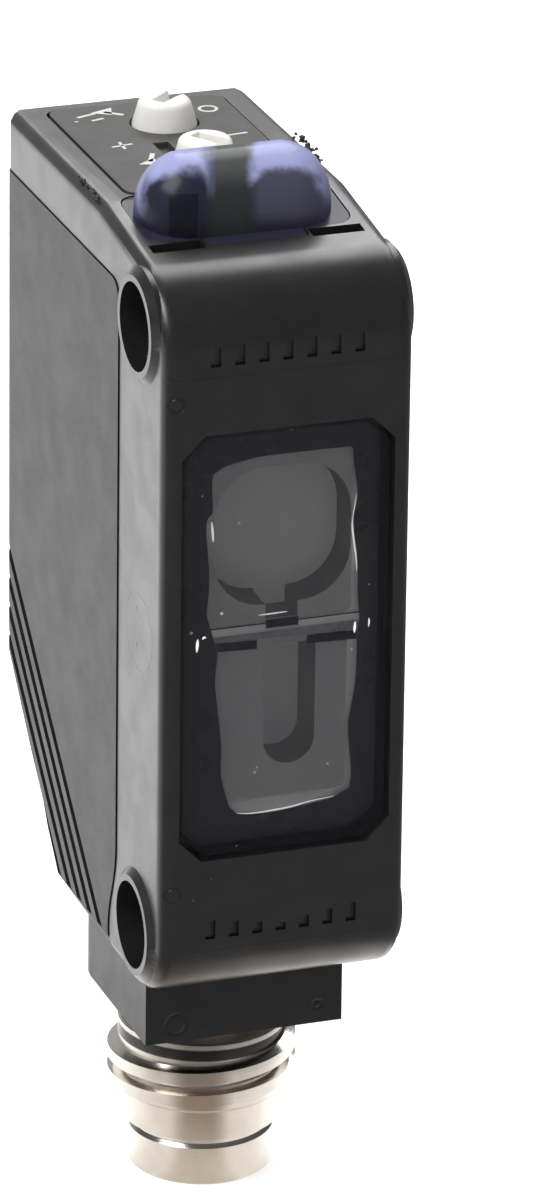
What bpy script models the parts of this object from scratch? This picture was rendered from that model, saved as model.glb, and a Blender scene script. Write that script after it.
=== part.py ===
"""Retro-reflective photoelectric sensor with two trimmers and an M8 plug.

A slim sensor in a moulded two-shell case. It looks out through the dark window in its
front face (-Y), it is bolted down through two cross holes, and it is set with two small
white adjusters on top (+Z). Frame: metres, +Z up, X across the width. The origin lies
under the middle of the case, on the plane of the plug's open end.
"""

import math

import bmesh
import bpy
from mathutils import Vector

MM = 0.001

# Mounting holes, through the whole width
HOLE_D = 3.56 * MM
HOLE_PITCH = 25.4 * MM
HOLE_FROM_FRONT = 2.95 * MM
HOLE_FROM_UNDER = 2.65 * MM
HOLE_FROM_ROOF = 3.25 * MM
COLLAR_RIM = 0.27 * MM
COLLAR_FLANK = 0.34 * MM
COLLAR_H = 0.25 * MM

# Case
CASE_W = 10.3 * MM
CASE_D = 20.0 * MM
CASE_H = HOLE_FROM_UNDER + HOLE_PITCH + HOLE_FROM_ROOF
EDGE_R = 0.55 * MM
WALL = 1.1 * MM
FRONT_WALL = 2.2 * MM
ROOF = 1.3 * MM
FLOOR = 1.4 * MM
PANEL_PROUD = 0.05 * MM
FRONT_TOP_R = 3.3 * MM
ROOF_FLAT_FROM = 8.3 * MM
ROOF_DROP = 0.7 * MM
BACK_SLOPE_Z = 7.8 * MM
SEAM_Y = HOLE_FROM_FRONT + 2.5 * MM
SEAM_Z = CASE_H - 2.3 * MM
SEAM_R = 0.8 * MM
SEAM_BULGE = 0.95 * MM
SEAM_BULGE_FROM = 0.9 * MM
SEAM_BULGE_OVER_HOLE = 2.2 * MM
SEAM_GAP = 0.05 * MM
FIT = 0.04 * MM

# Tail block that carries the plug
TAIL_W = CASE_W - 1.9 * MM
TAIL_D = 9.1 * MM
TAIL_H = 3.55 * MM
TAIL_FROM_FRONT = 4.5 * MM
TAIL_BACK_R = 2.0 * MM
SHOULDER_TOP = 0.7 * MM
SHOULDER_BOTTOM = -0.9 * MM

# Grip grooves on both sides, rising to the back edge
GROOVES = 5
GROOVE_PITCH_Z = 1.28 * MM
GROOVE_W = 0.45 * MM
GROOVE_DEPTH = 0.35 * MM
GROOVE_ANGLE = math.radians(44.2)
GROOVE_LOWEST_Z = 7.8 * MM

# Row marks moulded into the front face above and below the window
TICKS = 7
TICK_PITCH = 0.985 * MM
TICK_W = 0.24 * MM
TICK_H = 0.8 * MM
TICK_MIDDLE_H = 0.34 * MM
TICK_FOOT = 0.18 * MM
TICK_FOOT_H = 0.19 * MM
TICK_DEPTH = 0.15 * MM
UPPER_TICKS_Z = CASE_H - 4.15 * MM
LOWER_TICKS_Z = 2.95 * MM

# Window and what lies behind it
WINDOW_SIDE = 0.95 * MM
WINDOW_FROM_UNDER = 6.55 * MM
WINDOW_FROM_ROOF = 7.15 * MM
WINDOW_W = CASE_W - 2 * WINDOW_SIDE
WINDOW_H = CASE_H - WINDOW_FROM_UNDER - WINDOW_FROM_ROOF
WINDOW_Z = WINDOW_FROM_UNDER + WINDOW_H / 2
WINDOW_T = 0.9 * MM
WINDOW_CHAMFER = 0.85 * MM
WINDOW_GAP = 0.2 * MM
WINDOW_SUNK = 0.12 * MM
LEDGE_W = 0.6 * MM
FILTER_T = 0.12 * MM
FILTER_R = 0.4 * MM
FILTER_SPLIT_LIFT = 0.2 * MM
FILTER_SPLIT_Z = WINDOW_Z + FILTER_SPLIT_LIFT
FILTER_RIB_H = 0.34 * MM
UPPER_FILTER_SIDE = 1.15 * MM
UPPER_FILTER_FROM_TOP = 1.05 * MM
LOWER_FILTER_SIDE = 1.3 * MM
LOWER_FILTER_FROM_BOTTOM = 1.75 * MM
HOLDER_D = 3.6 * MM
RECEIVER_SIDE = 0.75 * MM
RECEIVER_FROM_TOP = 1.25 * MM
RECEIVER_OVER_RIB = 0.78 * MM
RECEIVER_R = 2.1 * MM
RECEIVER_X = 0.2 * MM
RECEIVER_TAB_W = 1.34 * MM
RECEIVER_TAB_OVER_RIB = 0.17 * MM
EMITTER_SLOT_W = 2.15 * MM
EMITTER_SLOT_X = 0.57 * MM
EMITTER_FROM_BOTTOM = 3.05 * MM
EMITTER_UNDER_RIB = 0.63 * MM
LENS_T = 0.7 * MM
LENS_CROWN = 0.45 * MM

# Circuit boards and the parts on them
BOARD_T = 0.6 * MM
OPTICS_BOARD_BEHIND = 3.28 * MM
OPTICS_BOARD_OVER = 0.5 * MM
MAIN_BOARD_BEHIND = 0.3 * MM
MAIN_BOARD_FROM_BACK = 1.8 * MM
MAIN_BOARD_LOW = 3.1 * MM
TOP_BOARD_UNDER_ROOF = 5.1 * MM
PHOTODIODE_W = 3.2 * MM
PHOTODIODE_T = 1.0 * MM
EMITTER_LED_W = 1.9 * MM
EMITTER_LED_T = 1.2 * MM
EMITTER_BULB_D = 1.33 * MM
PART_R = 0.2 * MM
SWITCH_W = 3.0 * MM
SWITCH_H = 1.9 * MM

# Indicator window on the sloping front of the roof
FLANGE_W = CASE_W - 1.7 * MM
FLANGE_FRONT = 4.5 * MM
FLANGE_BACK = 8.75 * MM
FLANGE_T = 0.5 * MM
FLANGE_R = 0.9 * MM
TONGUE_W = CASE_W - 6.1 * MM
TONGUE_REACH = 0.6 * MM
DOME_W = FLANGE_W - 0.6 * MM
DOME_X = -0.12 * MM
DOME_D = 4.1 * MM
DOME_FRONT = 4.6 * MM
DOME_H = 2.35 * MM
LATCH_SLOT_W = 2.15 * MM
LATCH_SLOT_D = 0.65 * MM
LATCH_SLOT_APART = 0.12 * MM
LATCH_SLOT_DEEP = 0.45 * MM
INDICATOR_W = 1.1 * MM
INDICATOR_R = 0.15 * MM
INDICATOR_X = FLANGE_W / 2 - 1.85 * MM
INDICATOR_REACH = 0.35 * MM
BARRIER_W = 1.5 * MM

# Adjuster panel and its two turning adjusters
PANEL_W = CASE_W - 2.9 * MM
PANEL_BACK = CASE_D - 0.65 * MM
PANEL_T = 0.8 * MM
PANEL_RAISED = 0.06 * MM
PANEL_R = 0.6 * MM
PANEL_GAP = 0.1 * MM
KNOB_D = 2.64 * MM
KNOB_TOP_D = 2.2 * MM
KNOB_TOP_R = 0.3 * MM
KNOB_H = 1.06 * MM
KNOB_SUNK = 0.48 * MM
KNOB_GAP = 0.1 * MM
KNOB_SPACING_SHARE = 0.475
KNOBS_X = 0.42 * MM
STEM_D = 1.4 * MM
ARROW_W = 0.62 * MM
ARROW_HEAD_W = 1.25 * MM
ARROW_TAIL = 0.55 * MM
ARROW_DEPTH = 0.8 * MM
MODE_ARROW_AT = math.radians(40.0)
SENSITIVITY_ARROW_AT = math.radians(15.0)
STOP_NOTCH_W = 0.65 * MM
STOP_NOTCH_X = -0.95 * MM
STOP_NOTCH_D = 2.75 * MM
STOP_NOTCH_DEEP = 0.25 * MM
SEAL_T = 0.4 * MM

# Plug: nickelled brass shell with an M8 x 1 thread, insulator and pins
PLUG_LENGTH = 7.85 * MM
PLUG_BEHIND_TAIL_FRONT = 5.25 * MM
PLUG_FROM_FRONT = TAIL_FROM_FRONT + PLUG_BEHIND_TAIL_FRONT
PLUG_BORE_D = 5.3 * MM
PLUG_NECK_D = PLUG_BORE_D + 0.7 * MM
PLUG_CORE_D = PLUG_BORE_D + 1.6 * MM
PLUG_BARREL_D = PLUG_BORE_D + 1.3 * MM
PLUG_GROOVE_D = PLUG_BORE_D + 0.45 * MM
PLUG_NOSE_D = PLUG_BORE_D + 0.7 * MM
PLUG_NECK_H = 1.28 * MM
PLUG_SEAT = 2.3 * MM
PLUG_BARREL_TOP = 3.4 * MM
PLUG_GROOVE_TOP = 2.17 * MM
PLUG_GROOVE_H = 0.53 * MM
PLUG_CHAMFER = 0.08 * MM
THREAD_D = PLUG_CORE_D + 0.85 * MM
THREAD_FOOT = 0.12 * MM
THREAD_PITCH = 1.0 * MM
THREAD_TURNS = 2.1
THREAD_CREST = 0.52 * MM
THREAD_ROOT = 0.84 * MM
THREAD_TOP_Z = PLUG_LENGTH - 2.1 * MM
INSERT_FACE = 5.2 * MM
PIN_D = 1.0 * MM
PIN_CIRCLE_D = 3.0 * MM
PIN_SUNK = 1.0 * MM
PIN_TAIL = 1.0 * MM

ROUND = 48
BORE_ROUND = 40
ARC_STEPS = 12

FRONT_Y = -CASE_D / 2
UNDER_Z = TAIL_H + PLUG_LENGTH
TOP_Z = UNDER_Z + CASE_H
PLUG_Y = FRONT_Y + PLUG_FROM_FRONT
REACH = 60 * MM


def at_y(depth):
    """World Y of a depth measured back from the front face."""
    return FRONT_Y + depth


def at_z(height):
    """World Z of a height measured up from the underside of the case."""
    return UNDER_Z + height


def clear_scene():
    for item in list(bpy.data.objects):
        bpy.data.objects.remove(item, do_unlink=True)


def paint(name, colour, roughness, metallic=0.0, alpha=1.0):
    """A plain Principled material."""
    made = bpy.data.materials.new(name)
    made.use_nodes = True
    shader = made.node_tree.nodes["Principled BSDF"]
    shader.inputs["Base Color"].default_value = (*colour, 1.0)
    shader.inputs["Roughness"].default_value = roughness
    shader.inputs["Metallic"].default_value = metallic
    shader.inputs["Alpha"].default_value = alpha
    made.diffuse_color = (*colour, alpha)
    return made


def finish(name, mesh_data, location=(0.0, 0.0, 0.0), material=None, smooth=30.0):
    """Turn a bmesh into a named object with outward faces."""
    bmesh.ops.recalc_face_normals(mesh_data, faces=mesh_data.faces)
    mesh = bpy.data.meshes.new(name)
    mesh_data.to_mesh(mesh)
    mesh_data.free()
    mesh.shade_smooth()
    mesh.set_sharp_from_angle(angle=math.radians(smooth))
    made = bpy.data.objects.new(name, mesh)
    made.location = location
    bpy.context.collection.objects.link(made)
    if material:
        mesh.materials.append(material)
    return made


def tool(made):
    """Mark an object as a cutter or guide, not a piece."""
    made.hide_render = True
    made.display_type = "WIRE"
    made.hide_set(True)
    return made


def combine(target, other, operation):
    """Add an exact Boolean that uses another object as its tool."""
    step = target.modifiers.new(other.name, "BOOLEAN")
    step.operation = operation
    step.solver = "EXACT"
    step.object = tool(other)


def arc(centre, radius, start, end, steps):
    """Points on an arc, both ends included, angles in degrees."""
    points = []
    for index in range(steps + 1):
        angle = math.radians(start + (end - start) * index / steps)
        points.append((centre[0] + radius * math.cos(angle), centre[1] + radius * math.sin(angle)))
    return points


def rounded_rectangle(width, height, radius, steps=4, centre=(0.0, 0.0)):
    points = []
    for turn, (sx, sy) in enumerate(((1, 1), (-1, 1), (-1, -1), (1, -1))):
        corner = (centre[0] + sx * (width / 2 - radius), centre[1] + sy * (height / 2 - radius))
        points += arc(corner, radius, 90 * turn, 90 * turn + 90, steps)
    return points


def chamfered_rectangle(width, height, chamfer, centre=(0.0, 0.0)):
    return rounded_rectangle(width, height, chamfer, 1, centre)


def box_outline(low, high):
    return [low, (high[0], low[1]), high, (low[0], high[1])]


def prism_mesh(outline, axis, low, high):
    """Extrude a closed outline along an axis, between two heights on it."""
    order = {"X": (2, 0, 1), "Y": (0, 2, 1), "Z": (0, 1, 2)}[axis]
    made = bmesh.new()
    ring = []
    for u, v in outline:
        point = (u, v, low)
        ring.append(made.verts.new([point[index] for index in order]))
    face = made.faces.new(ring)
    lifted = bmesh.ops.extrude_face_region(made, geom=[face])
    push = [0.0, 0.0, 0.0]
    push["XYZ".index(axis)] = high - low
    moved = [item for item in lifted["geom"] if isinstance(item, bmesh.types.BMVert)]
    bmesh.ops.translate(made, verts=moved, vec=push)
    return made


def prism(name, outline, axis, low, high, material=None, location=(0.0, 0.0, 0.0)):
    return finish(name, prism_mesh(outline, axis, low, high), location, material)


def round_rims(mesh_data, axis, radius, segments=3):
    """Round the two outlines at the ends of a prism."""
    index = "XYZ".index(axis)
    rims = []
    for edge in mesh_data.edges:
        start, end = (vert.co[index] for vert in edge.verts)
        if abs(start - end) < radius * 0.01:
            rims.append(edge)
    bmesh.ops.bevel(
        mesh_data, geom=rims, offset=radius, segments=segments, profile=0.5, affect="EDGES"
    )
    bmesh.ops.triangulate(mesh_data, faces=mesh_data.faces)


def turned_mesh(profile, segments=ROUND, closed=False):
    """Spin a profile of (radius, height) points about Z."""
    made = bmesh.new()
    verts = [made.verts.new((radius, 0.0, height)) for radius, height in profile]
    pairs = list(zip(verts, verts[1:]))
    if closed:
        pairs.append((verts[-1], verts[0]))
    edges = [made.edges.new(pair) for pair in pairs]
    bmesh.ops.spin(
        made, geom=verts + edges, cent=(0, 0, 0), axis=(0, 0, 1), angle=math.tau,
        steps=segments, use_merge=True
    )
    bmesh.ops.remove_doubles(made, verts=made.verts, dist=0.0005 * MM)
    return made


def turned(name, profile, location, material=None, segments=ROUND, closed=False):
    return finish(name, turned_mesh(profile, segments, closed), location, material)


def cross_rod(name, radius, half_length, location):
    """A rod along X, used to bore the mounting holes."""
    rod = turned_mesh([(0, -half_length), (radius, -half_length), (radius, half_length),
                       (0, half_length)], BORE_ROUND)
    made = finish(name, rod, location)
    made.rotation_euler = (0.0, math.pi / 2, 0.0)
    return made


# Case outline, seen from the side: points are (Y, Z)
def roof_z(depth):
    """Height of the roof above a depth behind the front face."""
    if depth >= ROOF_FLAT_FROM:
        return TOP_Z
    touch = roof_touch()
    rise = (TOP_Z - touch[1]) / (at_y(ROOF_FLAT_FROM) - touch[0])
    return TOP_Z - rise * (at_y(ROOF_FLAT_FROM) - at_y(depth))


def front_arc_centre():
    return at_y(FRONT_TOP_R), TOP_Z - FRONT_TOP_R - ROOF_DROP


def roof_touch():
    """Where the straight, sloping roof leaves the front corner's arc."""
    centre = front_arc_centre()
    span = Vector((at_y(ROOF_FLAT_FROM) - centre[0], TOP_Z - centre[1]))
    lean = math.atan2(span.y, span.x) + math.acos(FRONT_TOP_R / span.length)
    return centre[0] + FRONT_TOP_R * math.cos(lean), centre[1] + FRONT_TOP_R * math.sin(lean)


def boss_back():
    """Depth of the wall behind the mounting holes."""
    return HOLE_FROM_FRONT + HOLE_D / 2 + WALL


def hole_centres():
    low = at_z(HOLE_FROM_UNDER)
    return [(at_y(HOLE_FROM_FRONT), low), (at_y(HOLE_FROM_FRONT), low + HOLE_PITCH)]


def front_outline():
    """Front shell from the side: round ear below, sloping roof above."""
    centre = front_arc_centre()
    touch = roof_touch()
    lean = math.degrees(math.atan2(touch[1] - centre[1], touch[0] - centre[0]))
    ear = HOLE_FROM_FRONT
    points = [(at_y(CASE_D), UNDER_Z)]
    points += arc((FRONT_Y + ear, UNDER_Z + ear), ear, 270, 180, ARC_STEPS)
    points += arc(centre, FRONT_TOP_R, 180, lean, ARC_STEPS)
    points += [(at_y(ROOF_FLAT_FROM), TOP_Z), (at_y(CASE_D), TOP_Z)]
    return points


def seam_outline(gap):
    """Region of the front shell; a gap grows it to cut the back shell."""
    seam = at_y(SEAM_Y) + gap
    bulge = seam + SEAM_BULGE
    low_hole = hole_centres()[0][1]
    corner = (seam + SEAM_R, at_z(SEAM_Z) - gap - SEAM_R)
    points = [(FRONT_Y - REACH, UNDER_Z - gap), (bulge - SEAM_BULGE * 0.3, UNDER_Z - gap)]
    steps = 8
    for index in range(steps + 1):
        share = index / steps
        sway = math.cos(math.pi * share) * 0.5 + 0.5
        start, end = UNDER_Z + SEAM_BULGE_FROM, low_hole + SEAM_BULGE_OVER_HOLE
        height = start + share * (end - start)
        points.append((seam + SEAM_BULGE * sway, height))
    points += arc(corner, SEAM_R, 180, 90, 4)
    points += [(at_y(CASE_D) + REACH, at_z(SEAM_Z) - gap), (at_y(CASE_D) + REACH, TOP_Z + REACH)]
    points.append((FRONT_Y - REACH, TOP_Z + REACH))
    return points


def window_outline(grow):
    return chamfered_rectangle(
        WINDOW_W + 2 * grow, WINDOW_H + 2 * grow, WINDOW_CHAMFER + grow * 0.5,
        (0.0, at_z(WINDOW_Z))
    )


def opening_half():
    """Half width and half height of the opening behind the window."""
    return WINDOW_W / 2 - LEDGE_W, WINDOW_H / 2 - LEDGE_W


def front_case(material):
    half = CASE_W / 2
    blank = prism_mesh(front_outline(), "X", -half, half)
    round_rims(blank, "X", EDGE_R)
    case = finish("front_case", blank, material=material)
    combine(case, prism("front_region", seam_outline(0.0), "X", -REACH, REACH), "INTERSECT")
    add_collars(case)
    inner = half - WALL
    low = hole_centres()[0][1] + HOLE_D / 2 + WALL
    high = hole_centres()[1][1] - HOLE_D / 2 - WALL
    back = at_y(CASE_D) - WALL
    hollow = [(at_y(FRONT_WALL), low), (at_y(FRONT_WALL), high), (at_y(boss_back()), high),
              (at_y(boss_back()), TOP_Z - ROOF), (back, TOP_Z - ROOF), (back, low)]
    combine(case, prism("front_hollow", hollow, "X", -inner, inner), "DIFFERENCE")
    cut_window_seat(case)
    cut_ticks(case)
    cut_roof(case)
    for index, (y, z) in enumerate(hole_centres()):
        combine(case, cross_rod(f"mount_bore_{index}", HOLE_D / 2, CASE_W, (0, y, z)), "DIFFERENCE")
    return case


def add_collars(case):
    """Low rings round both ends of each mounting hole, cone-shaped outside."""
    rim = HOLE_D / 2 + COLLAR_RIM
    base = rim + COLLAR_FLANK
    half = CASE_W / 2
    for index, (y, z) in enumerate(hole_centres()):
        profile = [(0, -half - COLLAR_H), (rim, -half - COLLAR_H), (base, -half + FIT),
                   (base, half - FIT), (rim, half + COLLAR_H), (0, half + COLLAR_H)]
        ring = turned(f"collar_{index}", profile, (0, y, z))
        ring.rotation_euler = (0.0, math.pi / 2, 0.0)
        combine(case, ring, "UNION")


def cut_window_seat(case):
    seat_back = at_y(WINDOW_SUNK + WINDOW_T + FIT)
    seat = prism("window_seat", window_outline(WINDOW_GAP), "Y", FRONT_Y - REACH, seat_back)
    combine(case, seat, "DIFFERENCE")
    half_w, half_h = opening_half()
    middle = at_z(WINDOW_Z)
    opening = box_outline((-half_w, middle - half_h), (half_w, middle + half_h))
    combine(case, prism("optics_opening", opening, "Y", FRONT_Y, at_y(FRONT_WALL) + WALL),
            "DIFFERENCE")


def cut_ticks(case):
    """Two rows of small L-shaped notches; those of the lower row get shorter to its middle."""
    middle = (TICKS - 1) / 2
    for row, height in enumerate((LOWER_TICKS_Z, UPPER_TICKS_Z)):
        for index in range(TICKS):
            right = (index - middle) * TICK_PITCH + TICK_W / 2
            left = right - TICK_W
            low = at_z(height)
            foot = low + TICK_FOOT_H
            tall = TICK_H
            if row == 0:
                tall = TICK_MIDDLE_H + (TICK_H - TICK_MIDDLE_H) * abs(index - middle) / middle
            outline = [(right, low), (right, low + tall), (left, low + tall), (left, foot),
                       (left - TICK_FOOT, foot), (left - TICK_FOOT, low)]
            notch = prism(f"tick_{row}_{index}", outline, "Y", FRONT_Y - WALL, at_y(TICK_DEPTH))
            combine(case, notch, "DIFFERENCE")


def flange_floor(depth):
    return roof_z(depth) - FLANGE_T - FIT


def cut_roof(case):
    """Seats for the indicator window and the adjuster panel, and two latch slots."""
    front = FLANGE_FRONT - TONGUE_REACH - WALL
    back = FLANGE_BACK + WALL
    side = [(at_y(front), flange_floor(front)), (at_y(front), TOP_Z + WALL),
            (at_y(back), TOP_Z + WALL), (at_y(back), flange_floor(back)),
            (at_y(ROOF_FLAT_FROM), flange_floor(ROOF_FLAT_FROM))]
    seat = prism("flange_seat", side, "X", -CASE_W, CASE_W)
    combine(seat, prism("flange_seat_plan", flange_outline(0.0), "Z", UNDER_Z, TOP_Z + REACH), "INTERSECT")
    combine(case, seat, "DIFFERENCE")
    lamp_half = INDICATOR_X + INDICATOR_W / 2 + 2 * FIT
    well_back = at_y(DOME_FRONT + DOME_D - WALL / 2)
    well = box_outline((-lamp_half, at_y(boss_back())), (lamp_half, well_back))
    combine(case, prism("lamp_well", well, "Z", TOP_Z - ROOF - WALL, TOP_Z + WALL), "DIFFERENCE")
    panel_front = FLANGE_BACK - FIT
    depth = PANEL_BACK - panel_front + PANEL_GAP
    middle = at_y(panel_front + depth / 2)
    seat = rounded_rectangle(PANEL_W + 2 * PANEL_GAP, depth, PANEL_R, 4, (0.0, middle))
    combine(case, prism("panel_seat", seat, "Z", TOP_Z - PANEL_T + PANEL_RAISED - FIT, TOP_Z + WALL),
            "DIFFERENCE")
    hatch = rounded_rectangle(PANEL_W - 2 * WALL, depth - 2 * WALL, PANEL_R, 4, (0.0, middle))
    combine(case, prism("adjuster_hatch", hatch, "Z", TOP_Z - ROOF - WALL, TOP_Z + WALL), "DIFFERENCE")
    slot_back = at_y(FLANGE_FRONT) - LATCH_SLOT_APART
    slot_front = slot_back - LATCH_SLOT_D
    floor = roof_z(FLANGE_FRONT - LATCH_SLOT_D) - LATCH_SLOT_DEEP
    near = TONGUE_W / 2 + LATCH_SLOT_APART
    for index, x in enumerate((-near - LATCH_SLOT_W, near)):
        outline = box_outline((x, slot_front), (x + LATCH_SLOT_W, slot_back))
        combine(case, prism(f"latch_slot_{index}", outline, "Z", floor, TOP_Z + WALL), "DIFFERENCE")


def back_slope():
    """Lower and upper end of the sloping part of the back wall."""
    return (at_y(TAIL_FROM_FRONT + TAIL_D), at_z(SHOULDER_TOP)), (at_y(CASE_D), at_z(BACK_SLOPE_Z))


def slope_inside(offset):
    """The back slope moved inwards by a wall, as its cuts with a floor and a back."""
    low, high = back_slope()
    run, rise = high[0] - low[0], high[1] - low[1]
    shift = offset * math.hypot(run, rise) / rise
    back = at_y(CASE_D) - offset

    def y_at(z):
        return low[0] - shift + (z - low[1]) * run / rise

    def z_at(y):
        return low[1] + (y - low[0] + shift) * rise / run

    return y_at, z_at, back


def back_outline():
    high = back_slope()[1]
    y_at, _, _ = slope_inside(0.0)
    toe = at_z(SHOULDER_BOTTOM)
    return [(at_y(TAIL_FROM_FRONT), toe), (y_at(toe), toe), high, (at_y(CASE_D), TOP_Z),
            (at_y(TAIL_FROM_FRONT), TOP_Z)]


def shoulder_outline():
    """Back shell from the front: full width above, drawn in to the tail below."""
    half, tail = CASE_W / 2 + PANEL_PROUD, TAIL_W / 2
    low, high = at_z(SHOULDER_BOTTOM), at_z(SHOULDER_TOP)
    top = TOP_Z + WALL
    return [(-tail, low - WALL), (tail, low - WALL), (tail, low), (half, high), (half, top),
            (-half, top), (-half, high), (-tail, low)]


def back_case(material):
    half = CASE_W / 2 + PANEL_PROUD
    blank = prism_mesh(back_outline(), "X", -half, half)
    round_rims(blank, "X", EDGE_R)
    case = finish("back_case", blank, material=material)
    combine(case, prism("shoulder", shoulder_outline(), "Y", -REACH, REACH), "INTERSECT")
    combine(case, tail_block(), "UNION")
    combine(case, prism("back_region", seam_outline(SEAM_GAP), "X", -REACH, REACH), "DIFFERENCE")
    y_at, z_at, back = slope_inside(WALL)
    floor = at_z(FLOOR)
    hollow = [(FRONT_Y, floor), (y_at(floor), floor), (back, z_at(back)), (back, TOP_Z + WALL),
              (FRONT_Y, TOP_Z + WALL)]
    inner = CASE_W / 2 - WALL
    combine(case, prism("back_hollow", hollow, "X", -inner, inner), "DIFFERENCE")
    cut_grooves(case, half)
    bore = [(0, -WALL), (PLUG_NECK_D / 2 + FIT, -WALL), (PLUG_NECK_D / 2 + FIT, PLUG_SEAT + FIT),
            (PLUG_BORE_D / 2 + FIT, PLUG_SEAT + FIT), (PLUG_BORE_D / 2 + FIT, TAIL_H + FLOOR + WALL),
            (0, TAIL_H + FLOOR + WALL)]
    combine(case, turned("plug_bore", bore, (0, PLUG_Y, PLUG_LENGTH)), "DIFFERENCE")
    return case


def tail_block():
    front, back = at_y(TAIL_FROM_FRONT), at_y(TAIL_FROM_FRONT + TAIL_D)
    half = TAIL_W / 2
    outline = [(-half, front), (half, front)]
    outline += arc((half - TAIL_BACK_R, back - TAIL_BACK_R), TAIL_BACK_R, 0, 90, 6)
    outline += arc((-half + TAIL_BACK_R, back - TAIL_BACK_R), TAIL_BACK_R, 90, 180, 6)
    return prism("tail_block", outline, "Z", PLUG_LENGTH, at_z(SHOULDER_TOP))


def cut_grooves(case, half):
    """Diagonal grip grooves that run out at the back edge and at the shoulder."""
    along = Vector((math.cos(GROOVE_ANGLE), math.sin(GROOVE_ANGLE)))
    across = Vector((-along.y, along.x)) * GROOVE_W / 2
    for side, sign in enumerate((-1, 1)):
        for index in range(GROOVES):
            top = Vector((at_y(CASE_D), at_z(GROOVE_LOWEST_Z + index * GROOVE_PITCH_Z)))
            low = top - along * CASE_D
            high = top + along * WALL
            outline = [low - across, high - across, high + across, low + across]
            near = sign * (half - GROOVE_DEPTH)
            far = sign * (half + WALL)
            name = f"groove_{side}_{index}"
            cutter = prism(name, [tuple(p) for p in outline], "X", min(near, far), max(near, far))
            combine(case, cutter, "DIFFERENCE")


# Window, filters and optics
def lens_window(material):
    outline = chamfered_rectangle(WINDOW_W, WINDOW_H, WINDOW_CHAMFER)
    made = prism_mesh(outline, "Y", 0.0, WINDOW_T)
    return finish("lens_window", made, (0, at_y(WINDOW_SUNK), at_z(WINDOW_Z)), material)


def filter_sheet(name, side, low, high, material):
    outline = rounded_rectangle(WINDOW_W - 2 * side, high - low, FILTER_R)
    y = at_y(WINDOW_SUNK + WINDOW_T + FIT)
    return prism(name, outline, "Y", 0.0, FILTER_T, material, (0, y, (low + high) / 2))


def filters(material):
    """One film over the rib that parts them, one under it."""
    gap = FILTER_RIB_H / 2 + 2 * FIT
    split = at_z(FILTER_SPLIT_Z)
    top = at_z(WINDOW_Z + WINDOW_H / 2 - UPPER_FILTER_FROM_TOP)
    bottom = at_z(WINDOW_Z - WINDOW_H / 2 + LOWER_FILTER_FROM_BOTTOM)
    filter_sheet("receiver_filter", UPPER_FILTER_SIDE, split + gap, top, material)
    filter_sheet("emitter_filter", LOWER_FILTER_SIDE, bottom, split - gap, material)


def holder_face():
    """World Y of the optics holder's face, just behind the filters."""
    return at_y(WINDOW_SUNK + WINDOW_T + FILTER_T + 2 * FIT)


def receiver_pupil():
    """Middle height, width and height of the receiver's pupil."""
    half_w, half_h = opening_half()
    low = at_z(FILTER_SPLIT_Z) + FILTER_RIB_H / 2 + RECEIVER_OVER_RIB
    high = at_z(WINDOW_Z) + half_h - RECEIVER_FROM_TOP
    return (low + high) / 2, 2 * (half_w - RECEIVER_SIDE), high - low


def emitter_slot():
    """Height of the slot's lower round end, and of its top."""
    low = at_z(WINDOW_Z - WINDOW_H / 2 + EMITTER_FROM_BOTTOM) + EMITTER_SLOT_W / 2
    return low, at_z(FILTER_SPLIT_Z) - FILTER_RIB_H / 2 - EMITTER_UNDER_RIB


def optics_holder(material):
    half_w, half_h = opening_half()
    middle = at_z(WINDOW_Z)
    face = holder_face()
    outline = box_outline((-half_w + FIT, middle - half_h + FIT), (half_w - FIT, middle + half_h - FIT))
    holder = prism("optics_holder", outline, "Y", face, face + HOLDER_D, material)
    rib_z = at_z(FILTER_SPLIT_Z)
    rib = box_outline((-half_w + 2 * FIT, rib_z - FILTER_RIB_H / 2),
                      (half_w - 2 * FIT, rib_z + FILTER_RIB_H / 2))
    combine(holder, prism("filter_rib", rib, "Y", face - FILTER_T, face + WALL), "UNION")
    receiver_z, width, height = receiver_pupil()
    corner = min(RECEIVER_R, width / 2 - FIT, height / 2 - FIT)
    pupil = rounded_rectangle(width, height, corner, ARC_STEPS // 2, (RECEIVER_X, receiver_z))
    deep = face + HOLDER_D + WALL
    combine(holder, prism("receiver_pupil", pupil, "Y", face - WALL, deep), "DIFFERENCE")
    tab_half = RECEIVER_TAB_W / 2
    tab_low = rib_z + FILTER_RIB_H / 2 + RECEIVER_TAB_OVER_RIB
    tab = box_outline((RECEIVER_X - tab_half, tab_low), (RECEIVER_X + tab_half, receiver_z))
    combine(holder, prism("receiver_tab", tab, "Y", face - WALL, deep), "DIFFERENCE")
    radius = EMITTER_SLOT_W / 2
    low, high = emitter_slot()
    slot = arc((EMITTER_SLOT_X, low), radius, 180, 360, ARC_STEPS)
    slot += [(EMITTER_SLOT_X + radius, high), (EMITTER_SLOT_X - radius, high)]
    combine(holder, prism("emitter_slot", slot, "Y", face - WALL, deep), "DIFFERENCE")
    return holder


def lens(name, radius, x, z, material):
    """Plano-convex lens that looks forward, its flat back at the holder's back."""
    profile = [(0, 0), (radius, 0), (radius, LENS_T)]
    steps = 5
    for index in range(1, steps + 1):
        share = index / steps
        profile.append((radius * (1 - share), LENS_T + LENS_CROWN * (1 - (1 - share) ** 2)))
    made = turned(name, profile, (x, holder_face() + HOLDER_D, z), material)
    made.rotation_euler = (math.pi / 2, 0.0, 0.0)
    return made


def lenses(material):
    receiver_z, width, height = receiver_pupil()
    lens("receiver_lens", min(width, height) / 2 - FIT, RECEIVER_X, receiver_z, material)
    radius = EMITTER_SLOT_W / 2 - FIT
    lens("emitter_lens", radius, EMITTER_SLOT_X, emitter_slot()[0], material)


# Boards and what sits on them
def inner_half():
    return CASE_W / 2 - WALL - 2 * FIT


def optics_board_y():
    return holder_face() + HOLDER_D + OPTICS_BOARD_BEHIND


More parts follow.
